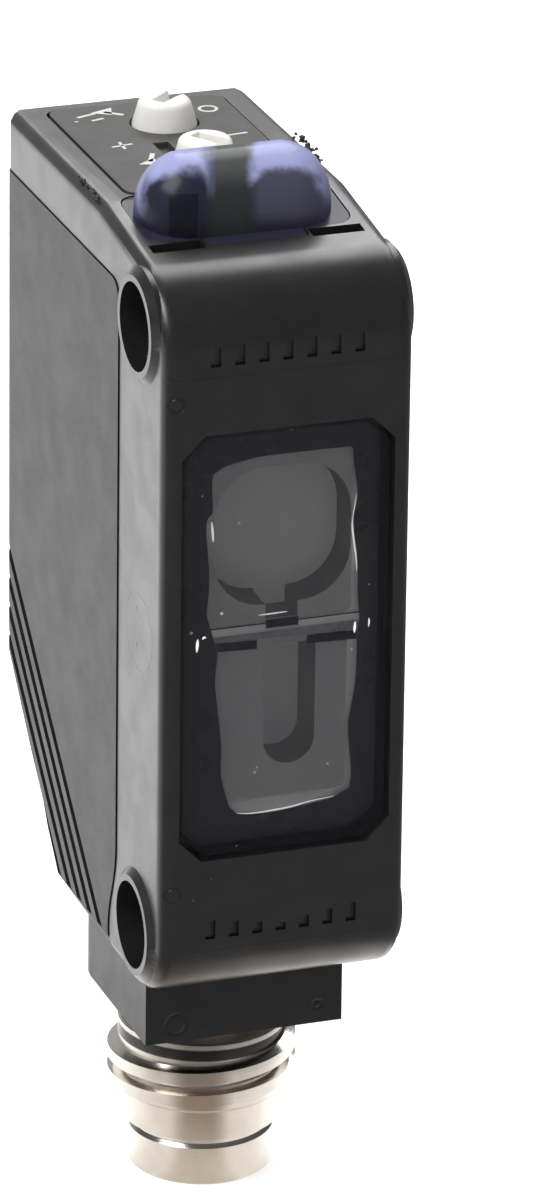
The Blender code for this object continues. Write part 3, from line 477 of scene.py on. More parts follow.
def refine(node, material, body="sensor", smooth=34.0, bevel=0.0, rounding=None, turn=0.0):
    """A copy of a node with soft shading on its roundings, in the node's place."""
    source = nodes[node]
    sculpt = bmesh.new()
    sculpt.from_mesh(source.data)
    sculpt.transform(source.matrix_world)
    bmesh.ops.remove_doubles(sculpt, verts=sculpt.verts, dist=0.002 * MM)
    flat = math.radians(0.4)
    bmesh.ops.dissolve_limit(sculpt, angle_limit=flat, verts=sculpt.verts, edges=sculpt.edges)
    if turn:
        low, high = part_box(node)
        axis = (low + high) / 2
        spin = Matrix.Rotation(math.radians(turn), 3, "Z")
        bmesh.ops.rotate(sculpt, verts=sculpt.verts, cent=axis, matrix=spin)
    made = new_piece(f"{node}_skin", sculpt, material, body, smooth)
    if bevel:
        soften = made.modifiers.new("soften", "BEVEL")
        soften.width = bevel * MM
        soften.segments = 2
        soften.angle_limit = math.radians(smooth)
        soften.use_clamp_overlap = True
        weigh = made.modifiers.new("weigh", "WEIGHTED_NORMAL")
        weigh.keep_sharp = True
    else:
        even_normals(made.data, smooth, rounding)
    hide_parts(node)
    return made


FRONT_ROUNDING = (FRONT_Y + 3.3 * MM, ROOF_Z - 4.0 * MM, 3.3 * MM)
refine("front_case", shell_plastic, rounding=FRONT_ROUNDING)
refine("back_case", panel_plastic)
print("shells refined")

# %% [markdown]
# The hidden and half-hidden pieces
#
# Boards, lamps, pins and seals are mostly out of sight, but each one is a real piece with a
# real finish. Short recipes are enough for them: a colour that varies a little, a gloss and
# some grain.

# %% Make the plain finishes
def plain_finish(name, dark, light, gloss, grain_mm=0.002, scale=2.5, **constants):
    """A colour that varies a little, a gloss and some grain."""
    made = Finish(name, **constants)
    spot = made.spot()
    cloud = made.noise(spot, scale, 3.0)
    made.set("Base Color", made.mix(cloud.ramp(0.3, 0.7), dark, light))
    made.set("Roughness", cloud.ramp(0.2, 0.8, gloss - 0.06, gloss + 0.06))
    made.set("Normal", made.bump(made.noise(spot, scale * 4, 2.0), grain_mm))
    return made.material


inner_black = plain_finish("inner_black", (0.01, 0.01, 0.011), (0.02, 0.02, 0.022), 0.55)
epoxy_black = plain_finish("epoxy_black", (0.01, 0.01, 0.01), (0.016, 0.016, 0.016), 0.35)
board_green = plain_finish("board_green", (0.01, 0.07, 0.03), (0.02, 0.11, 0.05), 0.4)
seal_rubber = plain_finish("seal_rubber", (0.014, 0.014, 0.014), (0.026, 0.026, 0.025), 0.75)
clear_lens = plain_finish("clear_lens", (0.10, 0.10, 0.105), (0.12, 0.12, 0.125), 0.12, 0.0005)
red_emitter = plain_finish("red_emitter", (0.45, 0.04, 0.03), (0.6, 0.07, 0.05), 0.15, 0.0005)
green_lamp = plain_finish("green_lamp", (0.02, 0.03, 0.03), (0.03, 0.05, 0.045), 0.3, 0.001)
orange_lamp = plain_finish("orange_lamp", (0.035, 0.03, 0.03), (0.05, 0.04, 0.04), 0.3, 0.001)
gold = plain_finish("gold", (0.8, 0.55, 0.2), (0.9, 0.66, 0.3), 0.22, 0.001, metallic=1.0)
print("plain finishes ready")

# %% Dress the inner pieces
for node in ("optics_board", "main_board", "top_board"):
    dress(node, board_green)
for node in ("receiver_photodiode", "mode_base", "sensitivity_base"):
    dress(node, epoxy_black)
for node in ("mode_seal", "sensitivity_seal"):
    dress(node, seal_rubber)
for node in ("receiver_lens", "emitter_lens"):
    dress(node, clear_lens)
for number in (1, 2, 3, 4):
    dress(f"contact_pin_{number}", gold)
dress("emitter_led", red_emitter)
dress("stability_lamp", green_lamp)
dress("output_lamp", orange_lamp)
dress("light_barrier", inner_black)
dress("plug_insert", inner_black)
print("inner pieces dressed")

# %% [markdown]
# The window
#
# The window is a plate of dark, clear plastic. Straight on it lets some light through, and
# what lies behind it shows as shades of grey: two polarising films, and behind them a holder
# with a round pupil and a slot. The plate is made see-through with alpha, which keeps the
# picture clean and fast. A dark print on its back leaves only a wavy opening.

# %% Make the window finishes
def window_glaze():
    """Dark clear plastic with a few specks of dust."""
    made = Finish("window_glaze", specular_ior_level=0.5)
    spot = made.spot()
    tint = made.noise(spot, 0.5, 2.0).ramp(0.3, 0.7)
    specks = made.specks(spot, 1.1, 0.07, 0.16)
    colour = made.mix(tint, (0.010, 0.011, 0.014), (0.013, 0.014, 0.018))
    made.set("Base Color", made.mix(specks, colour, (0.55, 0.55, 0.55)))
    made.set("Roughness", specks * 0.4 + made.noise(spot, 1.5, 4.0).ramp(0.2, 0.8, 0.10, 0.14))
    made.set("Alpha", (specks * 0.6 + 0.3).min(1.0))
    return made.material


def film_grey():
    """A thin polarising film that greys what lies behind it."""
    made = Finish("film_grey", roughness=0.35)
    spot = made.spot()
    cloud = made.noise(spot, 0.3, 2.0)
    made.set("Base Color", made.mix(cloud.ramp(0.3, 0.7), (0.38, 0.38, 0.39), (0.42, 0.42, 0.43)))
    made.set("Alpha", cloud.ramp(0.2, 0.8, 0.2, 0.23))
    return made.material


def holder_painted_shade_glow():
    """Grey on what faces forward, with a faint painted glow, and painted shade on the walls of the
    openings.
    """
    made = Finish("holder_painted_shade_glow", roughness=0.5)
    spot = made.spot()
    facing = made.node("ShaderNodeTexCoord", {}, {}, "Normal").part(1) * -1.0
    cloud = made.noise(spot, 0.4, 3.0)
    front = made.mix(cloud.ramp(0.3, 0.7), (0.60, 0.60, 0.61), (0.66, 0.66, 0.67))
    # Painted shade: walls that do not face forward turn dark.
    front = made.mix(facing.ramp(0.5, 0.9), (0.03, 0.03, 0.03), front)
    made.set("Base Color", front)
    # Painted glow: a faint emission of the same grey.
    made.set("Emission Color", front)
    made.set("Emission Strength", 0.05)
    return made.material


film = film_grey()
holder = holder_painted_shade_glow()
print_black = plain_finish(
    "print_black", (0.064, 0.065, 0.068), (0.072, 0.073, 0.076), 0.3, 0.0005, 0.6)
# The diffusers glow faintly: painted light, not a lamp.
diffuser_grey_painted_glow = plain_finish(
    "diffuser_grey_painted_glow", (0.84, 0.84, 0.85), (0.88, 0.88, 0.89), 0.5, 0.0005,
    emission_color=(0.8, 0.8, 0.81, 1.0), emission_strength=0.1)
# Painted glints: thin lines that glow along the films' cut edges and on the lugs.
painted_edge_glint = plain_finish(
    "painted_edge_glint", (0.8, 0.8, 0.78), (0.9, 0.9, 0.88), 0.15, 0.0005,
    emission_color=(0.9, 0.9, 0.88, 1.0), emission_strength=1.1)
rib_grey = plain_finish("rib_grey", (0.26, 0.26, 0.27), (0.34, 0.34, 0.35), 0.3, 0.002)
# Dark sheets of painted shade, for under the rib and the tab.
painted_shade_dark = plain_finish("painted_shade_dark", (0.045, 0.047, 0.05), (0.06, 0.062, 0.065), 0.2, 0.001)
dress("lens_window", window_glaze())
dress("receiver_filter", film)
dress("emitter_filter", film)
dress("optics_holder", holder)
print("window dressed")

# %% [markdown]
# Behind the window
#
# The print on the back of the window leaves one opening with wavy sides, the way the two films
# were trimmed by hand. The openings are traced as a few points each, in millimetres across and
# above the underside, and joined by a smooth curve. Light grey diffusers with a faint painted
# glow close the pupil and the slot, set back so that the walls of the openings show, dark with
# painted shade. The cut edges of the films get painted glints, and dark patches of painted
# shade lie under the rib and the tab.

# %% Make the print, the diffusers and the bright edges
PRINT_DEPTH = (window_high.y - FRONT_Y) / MM + 0.012
BEFORE_RIB = PRINT_DEPTH - 0.02
BEHIND_PRINT = PRINT_DEPTH + 0.02
UPPER_LEFT = [(-2.99, 16.44), (-2.88, 17.69), (-2.95, 18.96), (-3.03, 19.91), (-2.97, 20.47),
              (-2.77, 20.7), (-2.79, 21.33), (-2.8, 22.08), (-2.71, 22.35)]
UPPER_TOP = [(-2.28, 22.58), (-1.66, 22.71), (-0.68, 22.83), (1.43, 22.84), (2.92, 22.82)]
UPPER_RIGHT = [(3.02, 22.72), (3.06, 22.15), (3.24, 20.8), (3.12, 20.12), (3.07, 19.56),
               (3.25, 18.21), (3.3, 17.38), (3.31, 16.61), (3.40, 15.51)]
LOWER_RIGHT = [(3.31, 14.67), (3.27, 12.76), (3.01, 11.17), (3.06, 10.05), (3.16, 8.93),
               (3.09, 8.27)]
LOWER_FOOT = [(2.3, 7.92), (1.5, 7.81), (0.42, 7.69), (-0.59, 7.64), (-1.61, 7.75)]
LOWER_LEFT = [(-1.95, 8.1), (-2.27, 9.2), (-2.34, 9.94), (-2.32, 10.75), (-2.52, 12.62),
              (-2.6, 13.51), (-2.51, 14.74)]


def flat_points(points):
    """Millimetre points across and up as metres of the part."""
    return [(x * MM, UNDER_Z + height * MM) for x, height in points]


def sheet_with_opening(outer, opening, depth, thickness):
    """A flat sheet that faces front, with a hole, from two outlines in millimetres."""
    curve = bpy.data.curves.new("sheet", "CURVE")
    curve.dimensions = "2D"
    curve.fill_mode = "BOTH"
    curve.extrude = thickness * MM / 2
    for outline in (outer, opening):
        line = curve.splines.new("POLY")
        line.points.add(len(outline) - 1)
        for point, (x, height) in zip(line.points, outline):
            point.co = (x * MM, UNDER_Z + height * MM, 0.0, 1.0)
        line.use_cyclic_u = True
    holder_object = bpy.data.objects.new("sheet", curve)
    mesh = bpy.data.meshes.new_from_object(holder_object)
    sculpt = bmesh.new()
    sculpt.from_mesh(mesh)
    for corner in sculpt.verts:
        x, up, away = corner.co
        corner.co = (x, FRONT_Y + depth * MM - away, up)
    bpy.data.objects.remove(holder_object)
    return sculpt


def window_rim(inset):
    """The outline of the window with its cut corners, in millimetres."""
    half = (window_high.x - window_low.x) / MM / 2 - inset
    low = (window_low.z - UNDER_Z) / MM + inset
    high = (window_high.z - UNDER_Z) / MM - inset
    cut = 0.85
    return [(half - cut, low), (half, low + cut), (half, high - cut), (half - cut, high),
            (cut - half, high), (-half, high - cut), (-half, low + cut), (cut - half, low)]


opening = []
for stretch_of_points in (UPPER_LEFT, UPPER_TOP, UPPER_RIGHT, LOWER_RIGHT, LOWER_FOOT, LOWER_LEFT):
    opening += [tuple(point) for point in smooth_line(stretch_of_points, 4)]
print_sheet = sheet_with_opening(window_rim(0.06), opening, PRINT_DEPTH, 0.012)
new_piece("window_print", print_sheet, print_black)
print("print has", len(opening), "points round its opening")


def facing_slab(points, depth, thickness):
    """A thin slab that faces front, from flat points and a depth in millimetres."""
    y = FRONT_Y + depth * MM
    half = thickness * MM / 2
    return slab(points, y - half, y + half)


def glint(name, points, width, depth):
    """A painted glint: a thin glowing line, widest at its middle, along the cut edge of a film."""
    line = smooth_line(points, 5)
    left, right = [], []
    for index, point in enumerate(line):
        before, after = line[max(index - 1, 0)], line[min(index + 1, len(line) - 1)]
        along = (after - before).normalized()
        half = width / 2 * math.sin(math.pi * (index + 0.6) / (len(line) + 0.2))
        left.append((point[0] - along[1] * half, point[1] + along[0] * half))
        right.append((point[0] + along[1] * half, point[1] - along[0] * half))
    outline = flat_points(left + right[::-1])
    return new_piece(name, facing_slab(outline, depth, 0.012), painted_edge_glint)


def patch(name, points, material):
    """A thin flat patch behind the print."""
    return new_piece(name, facing_slab(flat_points(points), BEHIND_PRINT, 0.01), material)


glint("glint_left", [(-2.8, 20.31), (-2.75, 19.84), (-2.73, 19.47)], 0.09, BEHIND_PRINT)
right_edge = [(3.2, 20.8), (3.07, 19.81), (3.06, 19.27), (3.22, 18.1), (3.26, 17.49)]
glint("glint_right", right_edge, 0.07, BEHIND_PRINT)
foot_edge = [(-1.68, 7.8), (-1.08, 7.7), (-0.03, 7.72), (0.72, 7.78), (1.47, 7.9), (2.67, 8.0)]
glint("glint_foot", foot_edge, 0.06, BEHIND_PRINT)
glint("glint_left_lug", [(-3.38, 14.9), (-3.36, 15.2), (-3.34, 15.45)], 0.12, BEFORE_RIB)
glint("glint_left_lug_top", [(-3.15, 15.42), (-3.08, 15.5), (-3.0, 15.46)], 0.08, BEFORE_RIB)
glint("glint_right_lug", [(3.19, 14.92), (3.2, 15.15), (3.22, 15.4)], 0.1, BEFORE_RIB)
glint("glint_right_lug_end", [(3.78, 15.1), (3.8, 15.3), (3.79, 15.48)], 0.06, BEFORE_RIB)
patch("rib_bar", [(-2.95, 15.17), (3.3, 15.05), (3.3, 15.45), (-2.95, 15.35)], rib_grey)
glint("glint_tab", [(-0.83, 16.14), (-0.2, 16.15), (0.4, 16.16)], 0.05, BEHIND_PRINT)
# Painted shade: dark patches under the tab and under the rib.
patch("tab_shade", [(-0.5, 15.55), (0.85, 15.55), (0.85, 15.9), (-0.5, 15.9)], painted_shade_dark)
patch("shade_under_rib_left", [(-2.5, 14.79), (-0.87, 14.72), (-0.87, 15.1), (-2.55, 15.14)], painted_shade_dark)
patch("shade_under_rib_right", [(1.21, 14.7), (3.3, 14.64), (3.3, 15.02), (1.21, 15.05)], painted_shade_dark)
print("glints and rib made")

# %% Close the pupil and the slot with diffusers
holder_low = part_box("optics_holder")[0]
SET_BACK = 1.6
SLOT_SET_BACK = 2.05
TAB_FOOT = 15.4


def rounded(x_low, x_high, low, high, corner, steps=6):
    """A rectangle with round corners, counter-clockwise."""
    centres = ((x_high - corner, high - corner, 0), (x_low + corner, high - corner, 90),
               (x_low + corner, low + corner, 180), (x_high - corner, low + corner, 270))
    points = []
    for x, height, start in centres:
        for step in range(steps + 1):
            turn = math.radians(start + 90 * step / steps)
            points.append((x + corner * math.cos(turn), height + corner * math.sin(turn)))
    return points


def diffuser(name, outline, set_back):
    """A light grey plate across an opening of the holder, with its front set back."""
    front = holder_low.y + set_back * MM
    plate = slab(flat_points(outline), front, front + 0.05 * MM)
    return new_piece(name, plate, diffuser_grey_painted_glow)


pupil_foot = 28.02 - UNDER
pupil = rounded(-2.58, 2.98, pupil_foot, 33.58 - UNDER, 2.07)
pupil[21:21] = [(-0.45, pupil_foot), (-0.45, TAB_FOOT), (0.85, TAB_FOOT), (0.85, pupil_foot)]
diffuser("pupil_diffuser", pupil, SET_BACK)
diffuser("slot_diffuser", rounded(-0.48, 1.62, 9.63, 14.7, 1.04), SLOT_SET_BACK)
print("diffusers", SET_BACK, "and", SLOT_SET_BACK, "mm behind the holder's face")

# %% [markdown]
# The violet indicator window
#
# A dome of clear violet plastic lets two lamps be seen from any side. Its ends glow with the
# bright backdrop, while the wall between the lamps keeps its middle dark. The dome here is
# opaque, and what the plastic bends and shows is painted light on its surface: two glowing
# lobes, a dark oval in each, a dark band between them, a lighter pillar, a dark box for the
# lamps, a dark flange and a painted highlight along the outline. The shapes are laid out in a
# flat plane that is fixed to the part and tilted like the front view, so they stay where they
# are at any pose.

# %% Make the violet plastic
ACROSS_PLANE = (0.95417, -0.33333, 0.0)
UP_PLANE = (0.1, 0.35833, 0.9375)
OUT_OF_PLANE = (-0.306, -0.875, 0.373)
DOME_CENTRE = (0.0, -3.0, ROOF_Z / MM)
MIDDLE_PAINTED_SHADE = ((0.032, 0.034, 0.036), (0.075, 0.08, 0.078))
GLOW = ((0.14, 0.14, 0.28), (0.36, 0.38, 0.64))


def along(spot, direction):
    """How far a vector reaches in a fixed direction."""
    return sum(spot.part(axis) * share for axis, share in enumerate(direction) if share)


def violet_painted_light():
    """Violet plastic with painted light: glowing ends and top, a dark middle and front."""
    made = Finish("violet_painted_light", roughness=0.25, specular_ior_level=0.25)
    spot = made.spot()
    up = spot.part(2) - ROOF_Z / MM
    normal = made.node("ShaderNodeTexCoord", {}, {}, "Normal")
    facing = along(normal, OUT_OF_PLANE)
    from_centre = spot - DOME_CENTRE
    beside = along(from_centre, ACROSS_PLANE)
    above = along(from_centre, UP_PLANE)
    drift = made.noise(spot, 0.9, 3.0).ramp(0.3, 0.7, -0.05, 0.05)

    def outside(x, height, wide, tall):
        """Nothing inside an oval seen from the front, everything outside it."""
        away = (((beside - x) / wide) ** 2.0 + ((above - height) / tall) ** 2.0) ** 0.5
        return (away + drift * 2.0).ramp(0.88, 1.18)

    left_lobe = (beside + drift * 3.0).ramp(-1.35, -0.6, 1.0, 0.0) * outside(-2.0, -0.62, 1.55, 1.75)
    left_lobe = left_lobe * above.ramp(-1.1, 0.2, 0.1, 1.0)
    right_lobe = (beside + drift * 3.0).ramp(0.5, 1.1) * outside(1.95, -0.35, 1.65, 1.5)
    right_lobe = right_lobe * above.ramp(-0.6, 0.6, 0.12, 1.0)
    inner = made.mix(beside.ramp(0.3, 1.2), (0.022, 0.022, 0.04), (0.07, 0.068, 0.105))
    inner = made.mix(above.ramp(-1.2, -0.5, 0.8, 0.0), inner, (0.018, 0.017, 0.03))
    middle = beside.ramp(-1.2, -0.5) * beside.ramp(0.4, 1.1, 1.0, 0.0)
    inner = made.mix(middle, inner, made.mix(above.ramp(0.2, 1.3), *MIDDLE_PAINTED_SHADE))
    # Painted light: a lighter pillar, and a dark box where the lamps show through the plastic.
    pillar = beside.ramp(-1.1, -0.95) * beside.ramp(-0.75, -0.6, 1.0, 0.0) * above.ramp(-0.2, 0.4)
    inner = made.mix(pillar * 0.5, inner, (0.10, 0.11, 0.18))
    box = between(beside, -2.5, -1.35) * (above < 0.15)
    inner = made.mix(box * 0.7, inner, (0.006, 0.006, 0.012))
    glow = made.mix((above + drift * 6.0).ramp(-0.2, 1.6), *GLOW)
    shade = made.mix(left_lobe.max(right_lobe), inner, glow)
    # Painted highlight along the dome's outline.
    edge = facing.ramp(-0.14, -0.02) * facing.ramp(0.02, 0.16, 0.75, 0.0) * above.ramp(-0.2, 0.3)
    shade = made.mix(edge, shade, (0.68, 0.70, 0.86))
    # Painted: the flange shows dark, as if the black case showed through it.
    flange = (up < 0.12) * (normal.part(2) > 0.85)
    shade = made.mix(flange, shade, (0.03, 0.026, 0.05))
    made.set("Base Color", shade)
    made.set("Normal", made.bump(made.noise(spot, 2.0, 2.0), 0.002))
    return made.material


refine("indicator_window", violet_painted_light(), smooth=30.0)
print("indicator window dressed")

# %% [markdown]
# The adjuster panel and its knobs
#
# The panel is a grey, matt, spark-eroded insert. The two adjusters are turned in white acetal
# resin, which has a soft, waxy shine. A little subsurface scattering gives them that look.

# %% Make the panel and knob finishes
def adjuster_white():
    """White acetal resin with a soft, waxy shine."""
    made = Finish("adjuster_white", subsurface_weight=0.15, subsurface_scale=0.4 * MM)
    spot = made.spot()
    cloud = made.noise(spot, 1.2, 3.0)
    made.set("Base Color", made.mix(cloud.ramp(0.3, 0.7), (0.86, 0.845, 0.81), (0.91, 0.9, 0.87)))
    made.set("Roughness", cloud.ramp(0.2, 0.8, 0.34, 0.46))
    made.set("Normal", made.bump(made.noise(spot, 8.0, 3.0), 0.003))
    return made.material


PANEL_SHADES = ((0.05, 0.05, 0.048), (0.06, 0.059, 0.057))
panel_grey = close_finish(moulded_black("panel_grey", 0.5, 0.006, (0.6, 0.6, 0.6), 0.5, *PANEL_SHADES))
knob_white = adjuster_white()
dress("adjuster_panel", panel_grey)
refine("mode_knob", knob_white, "mode_adjuster", 40.0, 0.05)
refine("sensitivity_knob", knob_white, "sensitivity_adjuster", 40.0, 0.05, turn=-70.0)
print("panel and knobs dressed")

# %% [markdown]
# Marks on the panel
#
# White marks are pad printed beside the knobs: two arrows that show which way they turn, a ring
# and a bar for the two settings of the mode knob, and a plus and a minus for the other one.
# Each mark is a thin slab of ink, given as an outline in millimetres across and in depth.

# %% Print the marks
ink_white = plain_finish("ink_white", (0.62, 0.61, 0.59), (0.72, 0.71, 0.69), 0.5, 0.001)
INK = 0.006 * MM


def mark(name, outline):
    """A thin slab of ink on the panel."""
    points = [(x * MM, FRONT_Y + depth * MM) for x, depth in outline]
    top = panel_high.z
    return new_piece(name, slab(points, top - INK, top + INK, "Z"), ink_white)


def bar(name, start, end, width):
    """A straight stroke between two points."""
    along = (Vector(end) - Vector(start)).normalized() * (width / 2)
    side = Vector((-along.y, along.x))
    start, end = Vector(start), Vector(end)
    return mark(name, [tuple(p) for p in (start - side, end - side, end + side, start + side)])


mark("mode_arrow_head", [(-2.05, 18.55), (-1.05, 18.95), (-1.3, 18.1)])
bar("mode_arrow_tail", (-2.75, 18.15), (-1.9, 18.45), 0.16)
bar("mode_arrow_stem", (-1.5, 18.5), (-0.85, 17.95), 0.2)
bar("mode_bar", (-2.3, 17.62), (-1.75, 17.78), 0.14)
bar("mode_dot", (-3.0, 17.7), (-2.86, 17.7), 0.1)
bar("less", (2.3, 14.3), (3.2, 14.42), 0.13)
bar("more_across", (-2.55, 14.3), (-1.65, 14.45), 0.13)
bar("more_up", (-2.12, 13.95), (-2.08, 14.8), 0.13)
mark("turn_arrow_head", [(-2.2, 12.0), (-1.4, 12.55), (-1.35, 11.75)])
bar("turn_arrow_stem", (-1.65, 12.2), (-1.25, 13.1), 0.2)


def circle(radius):
    """Points once round the ring's centre, back to the first."""
    turns = [math.tau * step / 24 for step in range(25)]
    return [(2.65 + radius * math.cos(turn), 17.67 + radius * math.sin(turn)) for turn in turns]


ring = circle(0.42) + circle(0.29)[::-1]
mark("mode_ring", ring)
print("marks printed")

# %% [markdown]
# The floor of the seam
#
# The two shells meet with a hair gap. A thin plate just under the surface closes its view, so
# that the seam shows as a fine soft line and not as a deep cut.

# %% Close the seam
SEAM_DEPTH = 5.45
SEAM_UNDER_ROOF = 2.3
SIDE_X = -5.10 * MM


def seam_floor():
    """A thin plate under the surface that follows the seam up and along the roof."""
    edge = FRONT_Y + SEAM_DEPTH * MM
    top = ROOF_Z - SEAM_UNDER_ROOF * MM
    foot = UNDER_Z + 5.5 * MM
    back = case_high.y - 1.0 * MM
    outline = [(edge - 0.3 * MM, foot), (edge + 1.3 * MM, foot), (edge + 1.3 * MM, top - 1.2 * MM),
               (back, top - 1.2 * MM), (back, top + 0.3 * MM), (edge - 0.3 * MM, top + 0.3 * MM)]
    plate = slab(outline, SIDE_X, SIDE_X + 0.02 * MM, "X")
    return new_piece("seam_floor", plate, shell_plastic)


seam_floor()
print("seam closed")

# %% [markdown]
# Crumbs of flash
#
# Where the roof's edge was trimmed, two small heaps of torn plastic still hang on. Each heap is
# a row of tiny lumps with a fixed random shape.

# %% Scatter the crumbs
crumb_brown = plain_finish("crumb_brown", (0.03, 0.025, 0.02), (0.085, 0.07, 0.055), 0.7, 0.006, 6.0)


def crumbs(name, start, end, count, seed):
    """Lumps along the line between two points given by `place`."""
    chance = random.Random(seed)
    sculpt = bmesh.new()
    for index in range(count):
        spot = start.lerp(end, index / (count - 1))
        spot += Vector([chance.uniform(-0.13, 0.13) * MM for _ in range(3)])
        made = bmesh.ops.create_icosphere(sculpt, subdivisions=1, radius=chance.uniform(0.05, 0.12) * MM)
        for corner in made["verts"]:
            corner.co *= chance.uniform(0.7, 1.25)
            corner.co += spot
    return new_piece(name, sculpt, crumb_brown)


roof = (ROOF_Z - UNDER_Z) / MM
crumbs("crumbs_left", place(-4.95, 8.8, roof - 0.05), place(-4.9, 11.3, roof - 0.02), 16, 3)
crumbs("crumbs_right", place(4.95, 10.4, roof + 0.02), place(4.95, 13.6, roof + 0.04), 24, 8)
print("crumbs scattered")

# %% [markdown]
# The nickelled plug
#
# The plug is turned brass with a bright nickel plate. Turning leaves fine rings round it, and
# the plate has a faint warm tone. The rings are relief that varies only along the axis. A dark
# band on the neck stands for the deep shade under the tail block.

# %% Make the nickel
def nickel_plate():
    """Bright, faintly warm plate with fine turned rings."""
    made = Finish("nickel_plate", metallic=1.0)
    spot = made.spot()
    cloud = made.noise(spot, 0.8, 3.0)
    rings = made.noise(made.stretch(spot, (0.05, 0.05, 18.0)), 1.0, 2.0)
    colour = made.mix(cloud.ramp(0.3, 0.7), (0.72, 0.68, 0.63), (0.78, 0.745, 0.70))
    height = spot.part(2)
    neck = height.ramp(5.76, 5.84) * height.ramp(6.25, 6.32, 1.0, 0.0) * (spot.part(1) < 1.5)
    made.set("Base Color", made.mix(neck * 0.93, colour, (0.02, 0.02, 0.022)))
    made.set("Roughness", rings.ramp(0.2, 0.8, 0.12, 0.24))
    made.set("Normal", made.bump(rings, 0.0015))
    return made.material


refine("plug_shell", nickel_plate(), smooth=35.0)
print("plug dressed")

# %% [markdown]
# The studio
#
# The sensor stands on a plain white floor in soft light. The world gives even light from all
# round, and two large soft lamps give it form. The world is white for the camera. Reflections
# find a dim room overhead and a brighter one behind the sensor, which is told by the kind of
# ray that looks.

# %% Light the world
WORLD_LEVEL = 0.55
FRONT_ROOM = 0.1
BACK_ROOM = 0.42
ROOM_FADE = (0.62, 0.92)


def light_world():
    """White for the camera, even light for matt surfaces, a two-part room for reflections."""
    world = bpy.data.worlds.new("studio")
    bpy.context.scene.world = world
    world.use_nodes = True
    tree = world.node_tree
    room = tree.nodes["Background"]
    ray = tree.nodes.new("ShaderNodeLightPath")
    way = tree.nodes.new("ShaderNodeTexCoord")
    split = tree.nodes.new("ShaderNodeSeparateXYZ")
    depth = tree.nodes.new("ShaderNodeMapRange")
    tree.links.new(way.outputs["Generated"], split.inputs[0])
    tree.links.new(split.outputs["Y"], depth.inputs[0])
    for index, value in enumerate((*ROOM_FADE, FRONT_ROOM, BACK_ROOM), start=1):
        depth.inputs[index].default_value = value
    seen = tree.nodes.new("ShaderNodeMath")
    seen.operation = "MAXIMUM"
    tree.links.new(ray.outputs["Is Glossy Ray"], seen.inputs[0])
    tree.links.new(ray.outputs["Is Transmission Ray"], seen.inputs[1])
    first = tree.nodes.new("ShaderNodeMix")
    first.inputs[2].default_value = WORLD_LEVEL
    tree.links.new(seen.outputs[0], first.inputs[0])
    tree.links.new(depth.outputs[0], first.inputs[3])
    second = tree.nodes.new("ShaderNodeMix")
    second.inputs[3].default_value = 1.0
    tree.links.new(ray.outputs["Is Camera Ray"], second.inputs[0])
    tree.links.new(first.outputs[0], second.inputs[2])
    tree.links.new(second.outputs[0], room.inputs["Strength"])
    room.inputs["Color"].default_value = (1.0, 1.0, 1.0, 1.0)


light_world()
print("world level", WORLD_LEVEL)

# %% Place the lamps
def soft_lamp(name, where, aim, size, watts):
    """A square lamp that shines at a point."""
    data = bpy.data.lights.new(name, "AREA")
    data.shape = "SQUARE"
    data.size = size
    data.energy = watts
    lamp = bpy.data.objects.new(name, data)
    lamp.location = where
    lamp.rotation_euler = (aim - where).to_track_quat("-Z", "Y").to_euler()
    bpy.context.collection.objects.link(lamp)
    return lamp


middle = place(0.0, 10.0, 12.0)
soft_lamp("key_lamp", Vector((-0.30, -0.10, 0.42)), middle, 0.30, 1.6)
soft_lamp("back_lamp", Vector((0.15, 0.32, 0.40)), middle, 0.34, 1.2)
print("lamps placed")

# %% [markdown]
# The floor
#
# The floor is white paper for the camera and keeps the sensor's soft shadow. Reflections see a
# room laid out on it instead. Close to the plug it is white at the sides and tan towards the
# camera, which gives the nickel its warm dark stripe. Further out it is dim in front, so that
# the black front stays black, and bright behind and to the left, where the side strip looks.

# %% Lay the floor
FLOOR_LIFT = 0.5
ROOM_STRENGTH = 1.5
NEAR_TO_FAR = (13.0, 18.0)


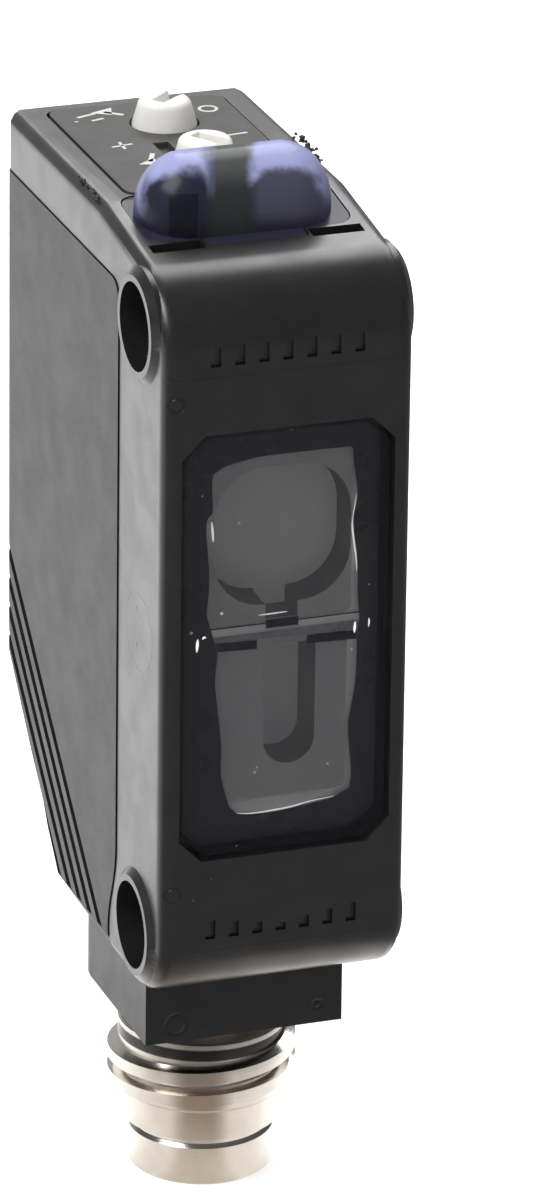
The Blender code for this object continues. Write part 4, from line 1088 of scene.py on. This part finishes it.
def room_on_floor(made):
    """What reflections see, by distance and direction from the plug, in mm."""
    spot = made.spot()
    across, depth = spot.part(0), spot.part(1)
    far = (across * across + depth * depth) ** 0.5
    toward = (across * -math.sin(AZIMUTH) - depth * math.cos(AZIMUTH)) / far
    right = (across / far).ramp(-0.2, 0.3)
    ahead = made.mix(far.ramp(4.0, 12.0), (0.48, 0.43, 0.37), (0.22, 0.172, 0.135))
    near = made.mix(toward.ramp(-0.3, 0.75, 1.0, 0.0), (0.66, 0.62, 0.57), (1.0, 1.0, 0.98))
    near = made.mix(toward.ramp(0.78, 0.99), near, ahead)
    left = made.mix(toward.ramp(-0.7, -0.1, 1.0, 0.0), (0.62, 0.62, 0.62), (1.0, 1.0, 1.0))
    distant = made.mix(right, left, (0.12, 0.12, 0.12))
    distant = made.mix(toward.ramp(0.2, 0.7), distant, (0.13, 0.13, 0.135))
    return made.mix(far.ramp(*NEAR_TO_FAR), near, distant)


def make_floor():
    """White paper whose reflection is a dimmer room."""
    sculpt = bmesh.new()
    bmesh.ops.create_grid(sculpt, x_segments=1, y_segments=1, size=1.5)
    mesh = bpy.data.meshes.new("floor")
    sculpt.to_mesh(mesh)
    sculpt.free()
    floor = bpy.data.objects.new("floor", mesh)
    bpy.context.collection.objects.link(floor)
    made = Finish("floor_paper", roughness=0.9, base_color=(0.86, 0.86, 0.86))
    camera_ray, glossy_ray, clear_ray = (
        made.node("ShaderNodeLightPath", {}, {}, f"Is {kind} Ray")
        for kind in ("Camera", "Glossy", "Transmission")
    )
    made.set("Emission Color", made.mix(camera_ray.max(clear_ray), (0.0, 0.0, 0.0), (1.0, 1.0, 1.0)))
    made.set("Emission Strength", FLOOR_LIFT)
    sockets = {"Color": room_on_floor(made), "Strength": ROOM_STRENGTH}
    mirrored = made.node("ShaderNodeEmission", {}, sockets)
    paper = Wire(made, made.shader.outputs[0])
    seen = made.node("ShaderNodeMixShader", {}, {0: glossy_ray, 1: paper, 2: mirrored})
    output = made.tree.nodes["Material Output"]
    made.tree.links.new(seen.socket, output.inputs["Surface"])
    mesh.materials.append(made.material)
    return floor


make_floor()
print("floor laid")
